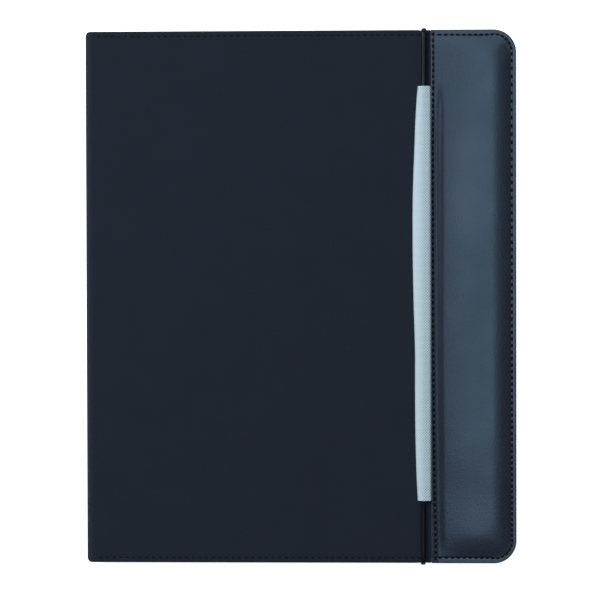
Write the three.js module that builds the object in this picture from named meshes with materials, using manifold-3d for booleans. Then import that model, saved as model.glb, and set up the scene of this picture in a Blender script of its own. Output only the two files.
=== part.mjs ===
// Portfolio folder for a letter-size writing pad, lying closed on its back cover.
// Units are millimetres. +X runs from the spine to the fore-edge, +Y to the head of the folder, +Z up.
// The origin is on the resting face, under the middle of the folder.

import * as THREE from 'three';
import { mergeVertices } from 'three/addons/utils/BufferGeometryUtils.js';
import Module from 'manifold-3d';

const wasm = await Module();
wasm.setup();

// Writing pad that the folder is made for
const padWidth = 215.9;
const padLength = 298.5;
const backingThickness = 0.8;
const pagesThickness = 4.7;
const bindingThickness = 0.3;
const bindingDepth = 19;
const sheetGap = 0.3; // between stacked sheets that are not glued together

// Overall cover: the pad with a margin on three sides and a gutter beside the spine
const gutterWidth = 34.5;
const foreMargin = 6.6;
const footMargin = 7.5;
const headMargin = 11.5;
const coverWidth = gutterWidth + padWidth + foreMargin;
const coverLength = footMargin + padLength + headMargin;
const interiorHeight = 11.3; // between the two linings when closed
const foreCornerRadius = 13.5;
const spineCornerRadius = 2;
const edgeRadius = 1.2; // where the cloth turns over the edge of a board
const shoulderRadius = 5; // where the cloth turns from a cover into the spine

// Layers of the covers and the spine
const clothThickness = 0.7;
const leatheretteThickness = 0.7;
const liningThickness = 0.6;
const foamThickness = 1;
const frontBoardThickness = 1.8;
const backBoardThickness = 2;
const spineStripThickness = 1.6;
const layerPlay = 0.6; // between the turned edge and the layers that it holds
const liningPlay = 0.3;
const hingeGap = 3; // soft strip beside the shoulder that no board reaches into
const mitreGap = 0.4; // between the cloth of two bodies that fold against each other

// Fold lines, measured in from the outer corner of the closed spine
const backFoldInset = 1;
const frontFoldDrop = 0.3;

// Padded leatherette panel along the fore-edge
const panelWidth = 50.8;
const panelRise = 1.5; // of the padded field over the stitched margin
const panelMargin = 4.5;
const panelSlope = 7;
const seamLap = 8; // cloth under the leatherette at the seam
const seamGap = 0.3;

// Elastic closure
const cordDiameter = 2.5;
const cordFromSeam = 4.4; // centre of the cord to the edge of the leatherette
const cordRestGap = 0.2;
const cordPlay = 0.2; // between the cord and its sleeve
const cordBend = 2.6;
const cordTabWidth = 4.4;
const cordTabThickness = 1.4;
const cordTabDepth = 9;
const cordSplitGap = 0.3;
const tabPlay = 0.3;
const sleeveWall = 0.4;
const sleeveFromSeam = 0.4;
const sleeveEndWidth = 7.7;
const sleeveUpperWidth = 10.6;
const sleeveLowerWidth = 9.2;
const sleeveLength = 248.6;
const sleeveShift = 2.1; // the sleeve sits a little above the middle of the folder
const sleeveDrape = 3.8; // how far the sleeve slopes down from the cord to its flat edge

// Pocket that holds the pad's backing, on the inside of the back cover
const padPocketThickness = 0.7;
const padPocketMouth = 42; // height of the mouth over the middle of the folder
const padPocketSlide = 1; // play each side of the backing
const padPocketHem = 6; // beside the pad, towards the spine

// Document pocket and card pockets, on the inside of the front cover
const gussetHeight = 1.6;
const gussetWidth = 6;
const pocketThickness = 0.7;
const pocketFromSpine = 40;
const pocketMouthAtSpine = 24;
const pocketMouthAtForeEdge = 62;
const pocketMouthRadius = 12;
const cardPocketWidth = 98;
const cardPocketThickness = 0.5;
const cardPocketFromForeEdge = 24;
const cardPocketFromFoot = 10;
const cardPocketHeights = [66, 48, 30];

// Pen loop in the gutter beside the spine
const penBore = 8.6;
const penLoopWall = 0.9;
const penLoopLength = 32;
const penLoopFromSpine = 17.5;
const penLoopTab = 4;

const arcSteps = 12;
const roundSteps = 3;
const cordSides = 12;
const overshoot = 4; // how far a cutting tool runs past what it cuts

// Places worked out from the sizes above
const spineX = -coverWidth / 2;
const foreX = coverWidth / 2;
const halfLength = coverLength / 2;
const backBoardZ = clothThickness;
const backLiningZ = backBoardZ + backBoardThickness;
const backTopZ = backLiningZ + liningThickness;
const frontLiningZ = backTopZ + interiorHeight;
const frontBoardZ = frontLiningZ + liningThickness;
const foamZ = frontBoardZ + frontBoardThickness;
const frontClothZ = foamZ + foamThickness;
const clothTopZ = frontClothZ + clothThickness;
const panelTopZ = clothTopZ + leatheretteThickness;
const layerInset = clothThickness + layerPlay;
const liningInset = clothThickness + liningPlay;
const seamX = foreX - panelWidth;
const boardStartX = spineX + shoulderRadius + hingeGap;

const shoulderX = spineX + shoulderRadius;
const backShoulderZ = shoulderRadius;
const frontShoulderZ = clothTopZ - shoulderRadius;
const spineThickness = clothThickness + spineStripThickness + liningThickness;
const panelProud = leatheretteThickness + panelRise;
const backFold = new THREE.Vector2(spineX + backFoldInset, backFoldInset);
const frontFold = new THREE.Vector2(spineX + frontFoldDrop + panelProud, clothTopZ - frontFoldDrop);
const backMitre = Math.atan2(backFold.y - backShoulderZ, backFold.x - shoulderX) + 2 * Math.PI;
const frontMitre = Math.atan2(frontFold.y - frontShoulderZ, frontFold.x - shoulderX);
const halfMitre = mitreGap / 2 / shoulderRadius;

const cordRadius = cordDiameter / 2;
const cordX = seamX - cordFromSeam;
const sleeveZ = clothTopZ + cordRestGap;
const cordZ = sleeveZ + sleeveWall + cordPlay + cordRadius;
const cordY = halfLength + cordRestGap + cordRadius;
const cordSplitZ = frontLiningZ + liningThickness;

// A closed three.js geometry as a solid that can be cut and joined.
function solidFrom(geometry) {
  const bare = new THREE.BufferGeometry();
  bare.setAttribute('position', geometry.getAttribute('position'));
  if (geometry.index) bare.setIndex(geometry.index);
  const merged = mergeVertices(bare, 1e-4);
  return new wasm.Manifold(new wasm.Mesh({
    numProp: 3,
    vertProperties: merged.getAttribute('position').array,
    triVerts: new Uint32Array(merged.index.array),
  }));
}

// A cut and joined solid as a geometry for a mesh.
function geometryFrom(solid) {
  const { vertProperties, triVerts } = solid.getMesh();
  const geometry = new THREE.BufferGeometry();
  geometry.setAttribute('position', new THREE.BufferAttribute(vertProperties, 3));
  geometry.setIndex(new THREE.BufferAttribute(triVerts, 1));
  return geometry;
}

// An outline seen from above, given a thickness, with both its rims rounded or sloped if asked.
function plate(outline, bottom, top, rimHeight = 0, rimWidth = rimHeight) {
  const geometry = new THREE.ExtrudeGeometry(outline, {
    depth: top - bottom - 2 * rimHeight,
    curveSegments: arcSteps,
    bevelEnabled: rimHeight > 0,
    bevelThickness: rimHeight,
    bevelSize: rimWidth,
    bevelOffset: -rimWidth,
    bevelSegments: roundSteps,
  });
  geometry.translate(0, 0, bottom + rimHeight);
  return solidFrom(geometry);
}

// A section drawn in (x, z) and carried along the folder, from one y to another.
function carriedAlong(section, yLow, yHigh) {
  const geometry = new THREE.ExtrudeGeometry(section, {
    depth: yHigh - yLow,
    curveSegments: arcSteps,
    bevelEnabled: false,
  });
  geometry.rotateX(Math.PI / 2);
  geometry.translate(0, yHigh, 0);
  return solidFrom(geometry);
}

// A plain block between two corners.
function block(x0, x1, y0, y1, z0, z1) {
  const geometry = new THREE.BoxGeometry(x1 - x0, y1 - y0, z1 - z0);
  geometry.translate((x0 + x1) / 2, (y0 + y1) / 2, (z0 + z1) / 2);
  return solidFrom(geometry);
}

// The outline of a cover, drawn in from its edge by an inset: small corners at the spine, large ones at the fore-edge.
function coverOutline(inset = 0, left = spineX + inset) {
  const right = foreX - inset;
  const half = halfLength - inset;
  const fore = foreCornerRadius - inset;
  const near = Math.max(spineCornerRadius - inset, 0);
  const outline = new THREE.Shape();
  outline.moveTo(left + near, -half);
  outline.lineTo(right - fore, -half);
  outline.absarc(right - fore, -half + fore, fore, -Math.PI / 2, 0);
  outline.lineTo(right, half - fore);
  outline.absarc(right - fore, half - fore, fore, 0, Math.PI / 2);
  outline.lineTo(left + near, half);
  if (near > 0) outline.absarc(left + near, half - near, near, Math.PI / 2, Math.PI);
  outline.lineTo(left, -half + near);
  if (near > 0) outline.absarc(left + near, -half + near, near, Math.PI, 1.5 * Math.PI);
  return outline;
}

// The point at a given distance from a shoulder's centre, in the section across the spine.
function shoulderPoint(centreZ, angle, distance) {
  return [shoulderX + distance * Math.cos(angle), centreZ + distance * Math.sin(angle)];
}

// The section of the front cover: under the shoulder's arc, on the cover's side of the mitre.
function frontSection() {
  const angle = frontMitre - halfMitre;
  const section = new THREE.Shape();
  section.moveTo(...shoulderPoint(frontShoulderZ, angle, shoulderRadius));
  section.absarc(shoulderX, frontShoulderZ, shoulderRadius, angle, Math.PI / 2, true);
  section.lineTo(foreX + overshoot, clothTopZ);
  section.lineTo(foreX + overshoot, frontLiningZ);
  const reach = (frontLiningZ - frontShoulderZ) / Math.sin(angle);
  section.lineTo(...shoulderPoint(frontShoulderZ, angle, reach));
  return section;
}

// The section of the back cover, the same way up.
function backSection() {
  const angle = backMitre + halfMitre;
  const section = new THREE.Shape();
  section.moveTo(...shoulderPoint(backShoulderZ, angle, shoulderRadius));
  section.absarc(shoulderX, backShoulderZ, shoulderRadius, angle, 1.5 * Math.PI);
  section.lineTo(foreX + overshoot, 0);
  section.lineTo(foreX + overshoot, backTopZ);
  const reach = (backTopZ - backShoulderZ) / Math.sin(angle);
  section.lineTo(...shoulderPoint(backShoulderZ, angle, reach));
  return section;
}

// The section of the spine between its two mitres.
function spineSection() {
  const top = frontMitre + halfMitre;
  const bottom = backMitre - halfMitre;
  const inner = spineThickness - shoulderRadius;
  const section = new THREE.Shape();
  section.moveTo(...shoulderPoint(frontShoulderZ, top, shoulderRadius));
  section.absarc(shoulderX, frontShoulderZ, shoulderRadius, top, Math.PI);
  section.lineTo(spineX, backShoulderZ);
  section.absarc(shoulderX, backShoulderZ, shoulderRadius, Math.PI, bottom);
  section.lineTo(...shoulderPoint(backShoulderZ, bottom, inner / Math.cos(bottom)));
  section.lineTo(...shoulderPoint(frontShoulderZ, top, inner / Math.cos(top)));
  return section;
}

// The space inside the cloth, round both shoulders, as a section that runs on to the right.
function insideSection() {
  const radius = shoulderRadius - clothThickness;
  const section = new THREE.Shape();
  section.moveTo(foreX + overshoot, clothThickness);
  section.lineTo(foreX + overshoot, frontClothZ);
  section.lineTo(shoulderX, frontClothZ);
  section.absarc(shoulderX, frontShoulderZ, radius, Math.PI / 2, Math.PI);
  section.lineTo(spineX + clothThickness, backShoulderZ);
  section.absarc(shoulderX, backShoulderZ, radius, Math.PI, 1.5 * Math.PI);
  return section;
}

// The room for the layers of a cover, inside its turned edges.
function insideOf(outlineInset, bottom, top) {
  const room = plate(coverOutline(outlineInset), bottom, top, edgeRadius - clothThickness);
  return room.intersect(carriedAlong(insideSection(), -halfLength, halfLength));
}

// A flat layer of a cover, such as its board, cut to the outline inside the turned edges.
function layer(inset, left, bottom, top) {
  return plate(coverOutline(inset, left), bottom, top);
}

// The slot in the back cover's edge, and on into its board, that takes the flat end of the cord.
function tabSlot(end) {
  const half = cordTabWidth / 2 + tabPlay;
  const inner = halfLength - cordTabDepth - tabPlay;
  const [y0, y1] = end > 0 ? [inner, halfLength + overshoot] : [-halfLength - overshoot, -inner];
  return block(cordX - half, cordX + half, y0, y1, backBoardZ, backLiningZ);
}

// Back cover: cloth outside, turned in at the edges, and slotted for the ends of the elastic.
function backCloth() {
  const whole = plate(coverOutline(), 0, backTopZ + 2 * edgeRadius, edgeRadius)
    .intersect(carriedAlong(backSection(), -halfLength, halfLength));
  return whole
    .subtract(insideOf(clothThickness, clothThickness, backTopZ + overshoot))
    .subtract(tabSlot(1))
    .subtract(tabSlot(-1));
}

function backBoard() {
  return layer(layerInset, boardStartX, backBoardZ, backLiningZ)
    .subtract(tabSlot(1))
    .subtract(tabSlot(-1));
}

function backLining() {
  return layer(liningInset, shoulderX, backLiningZ, backTopZ);
}

// Spine: cloth, a narrow board and a lining.
function spineCloth() {
  const column = plate(coverOutline(), 0, clothTopZ);
  const half = halfLength - clothThickness;
  return carriedAlong(spineSection(), -halfLength, halfLength)
    .intersect(column)
    .subtract(carriedAlong(insideSection(), -half, half));
}

function spineLayer(inner, outer, margin) {
  const half = halfLength - liningInset;
  return block(spineX + inner, spineX + outer, -half, half,
    backShoulderZ - margin, frontShoulderZ + margin);
}

function spineStrip() {
  return spineLayer(clothThickness, clothThickness + spineStripThickness, 0);
}

function spineLining() {
  return spineLayer(clothThickness + spineStripThickness, spineThickness, liningThickness);
}

// Front cover: cloth from the spine to the seam, and a flat lap of it under the leatherette.
function frontCloth() {
  const whole = plate(coverOutline(), frontLiningZ - 2 * edgeRadius, clothTopZ, edgeRadius)
    .intersect(carriedAlong(frontSection(), -halfLength, halfLength))
    .subtract(insideOf(clothThickness, frontLiningZ - overshoot, frontClothZ));
  const half = halfLength - edgeRadius - liningPlay;
  const toSeam = block(spineX, seamX - seamGap, -halfLength, halfLength, frontLiningZ, clothTopZ);
  const lap = block(seamX - overshoot, seamX + seamLap, -half, half, frontClothZ, clothTopZ);
  return whole.intersect(toSeam).add(lap);
}

// The raised field of the panel, or the room under it: flat at the bottom, sloped all round at the top.
function raisedField(outline, bottom, top) {
  const below = bottom - 2 * panelRise;
  return plate(outline, below, top, panelRise, panelSlope)
    .intersect(block(spineX, foreX, -halfLength, halfLength, bottom, top + overshoot));
}

// The padded leatherette: a flat stitched margin round a raised field, turned in at three edges.
function leatherettePanel() {
  const outer = plate(coverOutline(0, seamX - foreCornerRadius),
    frontLiningZ - 2 * edgeRadius, panelTopZ, edgeRadius);
  const field = raisedField(coverOutline(panelMargin, seamX + panelMargin),
    clothTopZ, panelTopZ + panelRise);
  const room = plate(coverOutline(leatheretteThickness, seamX - foreCornerRadius),
    frontLiningZ - overshoot, clothTopZ, edgeRadius - leatheretteThickness);
  const upperRoom = raisedField(coverOutline(panelMargin + leatheretteThickness, seamX + seamLap + seamGap),
    frontClothZ, clothTopZ + panelRise);
  const toFore = block(seamX, foreX + overshoot, -halfLength, halfLength,
    frontLiningZ, panelTopZ + overshoot);
  return outer.add(field).intersect(toFore).subtract(room).subtract(upperRoom);
}

// The pad of foam that lifts the leatherette, beside the lap of cloth.
function panelFoam() {
  const left = seamX + seamLap + seamGap;
  const inset = panelMargin + leatheretteThickness + liningPlay;
  const base = layer(layerInset, left, frontClothZ, clothTopZ);
  const crown = raisedField(coverOutline(inset, left + liningPlay),
    frontClothZ, clothTopZ + panelRise);
  return base.add(crown);
}

function frontFoam() {
  return layer(layerInset, boardStartX, foamZ, frontClothZ);
}

function frontBoard() {
  return layer(layerInset, boardStartX, frontBoardZ, foamZ);
}

function frontLining() {
  return layer(liningInset, shoulderX, frontLiningZ, frontBoardZ);
}

// The outline of a pocket sewn into the fore-edge and the foot of a cover, with a straight mouth.
function pocketOutline(left, mouthLeft, mouthRight, inset, mouthRadius) {
  const right = foreX - inset;
  const foot = -halfLength + inset;
  const corner = foreCornerRadius - inset;
  const outline = new THREE.Shape();
  outline.moveTo(left, foot);
  outline.lineTo(right - corner, foot);
  outline.absarc(right - corner, foot + corner, corner, -Math.PI / 2, 0);
  outline.lineTo(right, mouthRight);
  outline.lineTo(left + mouthRadius, mouthLeft + mouthRadius * (mouthRight - mouthLeft) / (right - left));
  outline.quadraticCurveTo(left, mouthLeft, left, mouthLeft - mouthRadius);
  return outline;
}

// Where the pad lies.
const padRight = foreX - foreMargin;
const padLeft = padRight - padWidth;
const padFoot = -halfLength + footMargin;
const padHead = padFoot + padLength;
const backingZ = backTopZ + bindingThickness;
const padPocketZ = backingZ + backingThickness + sheetGap;
const pagesZ = padPocketZ + padPocketThickness + sheetGap;
const pagesTopZ = pagesZ + pagesThickness;

// The pocket that the pad's backing slides into, open towards the head.
function padPocket() {
  const outline = pocketOutline(padLeft - padPocketHem, padPocketMouth, padPocketMouth, layerInset, spineCornerRadius);
  const room = block(padLeft - padPocketSlide, padRight + padPocketSlide,
    padFoot - padPocketSlide, padPocketMouth + overshoot, backTopZ - overshoot, padPocketZ);
  return plate(outline, backTopZ, padPocketZ + padPocketThickness).subtract(room);
}

function padBacking() {
  return block(padLeft, padRight, padFoot, padHead, backingZ, backingZ + backingThickness);
}

function padPages() {
  return block(padLeft, padRight, padFoot, padHead, pagesZ, pagesTopZ);
}

// The tape that binds the head of the pad, folded over the pages and under the backing.
function padBinding() {
  return block(padLeft, padRight, padHead - bindingDepth, padHead + bindingThickness,
    backingZ - bindingThickness, pagesTopZ + bindingThickness)
    .subtract(block(padLeft - overshoot, padRight + overshoot, padHead - bindingDepth - overshoot, padHead,
      backingZ, pagesTopZ));
}

// The pen loop: a ring of elastic webbing whose ends lie flat on the lining.
function penLoop() {
  const outerRadius = penBore / 2 + penLoopWall;
  const x = spineX + penLoopFromSpine;
  const z = backTopZ + outerRadius;
  const ring = new THREE.Shape();
  ring.absarc(x, z, outerRadius, 0, 2 * Math.PI);
  const bore = new THREE.Path();
  bore.absarc(x, z, penBore / 2, 0, 2 * Math.PI, true);
  ring.holes.push(bore);
  const half = penLoopLength / 2;
  const tab = block(x, x + outerRadius + penLoopTab, -half, half, backTopZ, backTopZ + penLoopWall);
  return carriedAlong(ring, -half, half).add(tab);
}

// Where the pockets of the front cover hang when it is closed.
const pocketZ = frontLiningZ - gussetHeight - pocketThickness;
const pocketLeft = spineX + pocketFromSpine;

function documentPocketOutline() {
  return pocketOutline(pocketLeft, pocketMouthAtSpine, pocketMouthAtForeEdge, layerInset, pocketMouthRadius);
}

function documentPocket() {
  return plate(documentPocketOutline(), pocketZ, pocketZ + pocketThickness);
}

// The gusset round three sides of the document pocket.
function pocketGusset() {
  const rim = layerInset + gussetWidth;
  const room = pocketOutline(pocketLeft + gussetWidth, 2 * halfLength, 2 * halfLength, rim, 1);
  const bottom = frontLiningZ - gussetHeight;
  return plate(documentPocketOutline(), bottom, frontLiningZ)
    .subtract(plate(room, bottom - overshoot, frontLiningZ + overshoot));
}

// One of the card pockets, each lying on the taller one before it.
function cardPocket(index) {
  const right = foreX - cardPocketFromForeEdge;
  const foot = -halfLength + cardPocketFromFoot;
  const top = pocketZ - index * cardPocketThickness;
  return block(right - cardPocketWidth, right, foot, foot + cardPocketHeights[index],
    top - cardPocketThickness, top);
}

// A round cord along a path.
function tube(path, steps, radius = cordRadius) {
  const section = new THREE.Shape();
  section.absarc(0, 0, radius, 0, 2 * Math.PI);
  return solidFrom(new THREE.ExtrudeGeometry(section, {
    extrudePath: path,
    steps,
    curveSegments: cordSides,
    bevelEnabled: false,
  }));
}

// A quarter bend in the plane of the folder's length, as a closed arc of cord.
function bend(y, z, radius, startAngle) {
  const points = [];
  for (let i = 0; i <= arcSteps; i += 1) {
    const angle = startAngle + (i / arcSteps) * (Math.PI / 2);
    points.push(new THREE.Vector3(cordX, y + radius * Math.cos(angle), z + radius * Math.sin(angle)));
  }
  return tube(new THREE.CatmullRomCurve3(points), arcSteps);
}

function straight(from, to) {
  return tube(new THREE.LineCurve3(new THREE.Vector3(...from), new THREE.Vector3(...to)), 1);
}

// The front run of the elastic, with the bend at each end that takes it round the edge of the cover.
function elasticCord() {
  const y = cordY - cordBend;
  const z = cordZ - cordBend;
  const bottom = cordSplitZ + cordSplitGap;
  return straight([cordX, -y, cordZ], [cordX, y, cordZ])
    .add(bend(y, z, cordBend, 0))
    .add(bend(-y, z, cordBend, Math.PI / 2))
    .add(straight([cordX, cordY, bottom], [cordX, cordY, z]))
    .add(straight([cordX, -cordY, bottom], [cordX, -cordY, z]));
}

// The end of the elastic: down the edges of the closed covers and flat into the back cover's edge.
function cordLeg(end) {
  const tabZ = (backBoardZ + backLiningZ) / 2;
  const turn = cordRadius + tabPlay;
  const y = cordY - turn;
  const down = straight([cordX, end * cordY, tabZ + turn], [cordX, end * cordY, cordSplitZ]);
  const round = bend(end * y, tabZ + turn, turn, end > 0 ? -Math.PI / 2 : Math.PI);
  const clear = halfLength + tabPlay;
  const roundOutside = round.intersect(block(cordX - cordDiameter, cordX + cordDiameter,
    end > 0 ? clear : -cordY - cordDiameter, end > 0 ? cordY + cordDiameter : -clear,
    0, cordSplitZ));
  const [y0, y1] = end > 0 ? [halfLength - cordTabDepth, cordY] : [-cordY, -halfLength + cordTabDepth];
  const tab = block(cordX - cordTabWidth / 2, cordX + cordTabWidth / 2, y0, y1,
    tabZ - cordTabThickness / 2, tabZ + cordTabThickness / 2);
  return down.add(roundOutside).add(tab);
}

// The cloth sleeve on the elastic: flat towards the spine, draped over the cord, straight along the seam.
function closureSleeve() {
  const right = seamX - sleeveFromSeam;
  const top = sleeveShift + sleeveLength / 2;
  const bottom = sleeveShift - sleeveLength / 2;
  const outline = new THREE.Shape();
  outline.moveTo(right, bottom);
  outline.lineTo(right, top);
  outline.lineTo(right - sleeveEndWidth, top);
  outline.splineThru([
    new THREE.Vector2(right - (sleeveEndWidth + sleeveUpperWidth) / 2, top - sleeveLength * 0.1),
    new THREE.Vector2(right - sleeveUpperWidth, top - sleeveLength * 0.33),
    new THREE.Vector2(right - sleeveLowerWidth, bottom + sleeveLength * 0.36),
    new THREE.Vector2(right - sleeveLowerWidth, bottom + sleeveLength * 0.12),
    new THREE.Vector2(right - sleeveEndWidth, bottom),
  ]);
  const cordTop = cordZ + cordRadius + cordPlay + sleeveWall;
  const flatTop = sleeveZ + 2 * sleeveWall + cordPlay;
  const drape = new THREE.Shape();
  drape.moveTo(cordX - sleeveDrape, sleeveZ);
  drape.lineTo(cordX - sleeveDrape, flatTop);
  drape.bezierCurveTo(cordX - sleeveDrape / 2, flatTop, cordX - sleeveDrape / 2, cordTop, cordX, cordTop);
  drape.bezierCurveTo(cordX + sleeveDrape / 2, cordTop, cordX + sleeveDrape / 2, flatTop,
    cordX + sleeveDrape, flatTop);
  drape.lineTo(cordX + sleeveDrape, sleeveZ);
  const ridge = carriedAlong(drape, bottom, top).intersect(plate(outline, sleeveZ, cordTop + overshoot));
  const bore = tube(new THREE.LineCurve3(
    new THREE.Vector3(cordX, bottom - overshoot, cordZ),
    new THREE.Vector3(cordX, top + overshoot, cordZ)), 1, cordRadius + cordPlay);
  return plate(outline, sleeveZ, flatTop, sleeveWall / 2).add(ridge).subtract(bore);
}

// Materials
const navyCloth = new THREE.MeshStandardMaterial({ name: 'navy_cloth', color: 0x212631, roughness: 0.9 });
const leatherette = new THREE.MeshStandardMaterial({ name: 'leatherette', color: 0x2b3542, roughness: 0.38 });
const lining = new THREE.MeshStandardMaterial({ name: 'lining', color: 0x1d212a, roughness: 0.75 });
const pocketCloth = new THREE.MeshStandardMaterial({ name: 'pocket_cloth', color: 0x232833, roughness: 0.7 });
const greyboard = new THREE.MeshStandardMaterial({ name: 'greyboard', color: 0x8d887c, roughness: 0.95 });
const foam = new THREE.MeshStandardMaterial({ name: 'foam', color: 0xd8d8d2, roughness: 1 });
const elastic = new THREE.MeshStandardMaterial({ name: 'elastic', color: 0x14171f, roughness: 0.8 });
const paleTwill = new THREE.MeshStandardMaterial({ name: 'pale_twill', color: 0xafc4cf, roughness: 0.85 });
const paper = new THREE.MeshStandardMaterial({ name: 'paper', color: 0xf4f3ec, roughness: 0.95 });
const tape = new THREE.MeshStandardMaterial({ name: 'tape', color: 0x26303f, roughness: 0.7 });

function piece(name, solid, material) {
  const mesh = new THREE.Mesh(geometryFrom(solid), material);
  mesh.name = name;
  return mesh;
}

const backCover = new THREE.Group();
backCover.add(
  piece('back_cloth', backCloth(), navyCloth),
  piece('back_board', backBoard(), greyboard),
  piece('back_lining', backLining(), lining),
  piece('pad_pocket', padPocket(), pocketCloth),
  piece('pad_backing', padBacking(), greyboard),
  piece('pad_pages', padPages(), paper),
  piece('pad_binding', padBinding(), tape),
  piece('pen_loop', penLoop(), elastic),
  piece('cord_leg_head', cordLeg(1), elastic),
  piece('cord_leg_foot', cordLeg(-1), elastic),
);

const spine = new THREE.Group();
spine.add(
  piece('spine_cloth', spineCloth(), navyCloth),
  piece('spine_strip', spineStrip(), greyboard),
  piece('spine_lining', spineLining(), lining),
);

const frontCover = new THREE.Group();
frontCover.add(
  piece('front_cloth', frontCloth(), navyCloth),
  piece('leatherette_panel', leatherettePanel(), leatherette),
  piece('panel_foam', panelFoam(), foam),
  piece('front_foam', frontFoam(), foam),
  piece('front_board', frontBoard(), greyboard),
  piece('front_lining', frontLining(), lining),
  piece('pocket_gusset', pocketGusset(), pocketCloth),
  piece('document_pocket', documentPocket(), pocketCloth),
);
cardPocketHeights.forEach((height, index) => {
  frontCover.add(piece(`card_pocket_${index + 1}`, cardPocket(index), pocketCloth));
});

const closure = new THREE.Group();
closure.add(
  piece('elastic_cord', elasticCord(), elastic),
  piece('closure_sleeve', closureSleeve(), paleTwill),
);

const folder = new THREE.Group();
folder.add(backCover, spine, frontCover, closure);

export default folder;
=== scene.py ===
"""Portfolio folder: the finished surfaces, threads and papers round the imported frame.

Every size is in metres. +X runs from the spine to the fore-edge, +Y to the head, +Z out of the front cover.
"""
import functools
import math

import bmesh
import bpy
import numpy as np
from bpy.props import FloatProperty, FloatVectorProperty, PointerProperty
from mathutils import Euler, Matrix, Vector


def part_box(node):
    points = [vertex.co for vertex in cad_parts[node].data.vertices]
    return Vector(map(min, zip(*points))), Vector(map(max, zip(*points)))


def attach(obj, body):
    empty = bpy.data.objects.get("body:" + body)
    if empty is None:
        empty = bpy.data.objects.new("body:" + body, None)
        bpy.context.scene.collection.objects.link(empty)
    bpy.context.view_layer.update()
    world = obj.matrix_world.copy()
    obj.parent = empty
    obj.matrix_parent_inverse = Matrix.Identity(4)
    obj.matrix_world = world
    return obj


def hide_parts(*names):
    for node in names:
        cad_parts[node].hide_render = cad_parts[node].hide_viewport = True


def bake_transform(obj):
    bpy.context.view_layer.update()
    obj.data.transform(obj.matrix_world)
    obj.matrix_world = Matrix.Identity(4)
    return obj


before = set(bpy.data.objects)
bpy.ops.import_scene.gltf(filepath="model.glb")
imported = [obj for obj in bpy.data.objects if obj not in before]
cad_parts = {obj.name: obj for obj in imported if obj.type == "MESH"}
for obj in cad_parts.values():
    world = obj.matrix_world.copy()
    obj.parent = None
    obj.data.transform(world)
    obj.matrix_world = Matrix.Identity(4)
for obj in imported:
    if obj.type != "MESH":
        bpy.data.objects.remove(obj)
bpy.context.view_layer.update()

bl_info = {
    "name": "Portfolio Folder",
    "version": (1, 0, 0),
    "blender": (4, 5, 0),
    "location": "View3D > Sidebar > Folder",
    "description": "Makes the cloth, leatherette, elastic and stationery of a portfolio folder",
    "category": "Add Mesh",
}

MM = 0.001

# Places read from the frame
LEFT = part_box("spine_cloth")[0].x
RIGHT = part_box("leatherette_panel")[1].x
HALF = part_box("back_cloth")[1].y
CLOTH_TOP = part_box("front_cloth")[1].z
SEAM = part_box("leatherette_panel")[0].x
PANEL_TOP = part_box("leatherette_panel")[1].z
FRONT_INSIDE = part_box("front_lining")[0].z
BACK_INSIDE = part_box("back_lining")[1].z
CORD_LOW, CORD_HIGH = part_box("elastic_cord")
CORD_X = (CORD_LOW.x + CORD_HIGH.x) / 2
SLEEVE_LOW, SLEEVE_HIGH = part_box("closure_sleeve")
SPINE_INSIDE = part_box("spine_lining")[1].x

# Sizes that several pieces share
CLOTH_STITCH_INSET = 3.1 * MM
CLOTH_STITCH_PITCH = 3.95 * MM
LINING_INSET = 1.2 * MM
GUTTER_RADIUS = 2.1 * MM

PHOTO_SIZE = 600
SENSOR_WIDTH = 36
QUARTER = math.pi / 2
UP, DOWN, TO_SPINE, FROM_SPINE = (0, 0, 1), (0, 0, -1), (-1, 0, 0), (1, 0, 0)


def linear(red, green, blue):
    """A screen colour from 0 to 255 as the linear colour that Blender stores."""
    return tuple(c / (255 * 12.92) if c <= 10 else ((c / 255 + 0.055) / 1.055) ** 2.4
                 for c in (red, green, blue))


def length_prop(name, millimetres, description):
    return FloatProperty(name=name, description=description, default=millimetres * MM,
                         unit="LENGTH", subtype="DISTANCE")


def colour_prop(name, colour, description):
    return FloatVectorProperty(name=name, description=description, default=linear(*colour), size=3,
                               min=0, max=1, subtype="COLOR")


class FolderSizes(bpy.types.PropertyGroup):
    """Sizes of the folder's soft surfaces."""
    shoulder: length_prop("Shoulder radius", 5, "Radius of the cloth where a cover turns into the spine")
    edge: length_prop("Edge radius", 1.2, "Radius of the cloth where it turns over a board")
    fore_corner: length_prop("Fore-edge corner", 13.5, "Radius of the two rounded corners, seen from above")
    spine_corner: length_prop("Spine corner", 2, "Radius of the two small corners, seen from above")
    cloth: length_prop("Cloth thickness", 0.5, "Thickness of the outer cloth")
    padding: length_prop("Padding", 1.5, "Rise of the padded field over its stitched margin")
    stitch_inset: length_prop("Stitch inset", 2.7, "From the edge of the panel to its stitching")
    seam_pitch: length_prop("Seam pitch", 3.55, "From one stitch to the next along the seam")
    cord: length_prop("Cord diameter", 2.5, "Diameter of the elastic cord")
    weave: length_prop("Weave pitch", 0.62, "From one thread of the outer cloth to the next")
    twill: length_prop("Twill pitch", 1.15, "From one rib of the sleeve's twill to the next")
    ruling: length_prop("Ruling", 7.1, "From one line on the pad to the next")


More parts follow.
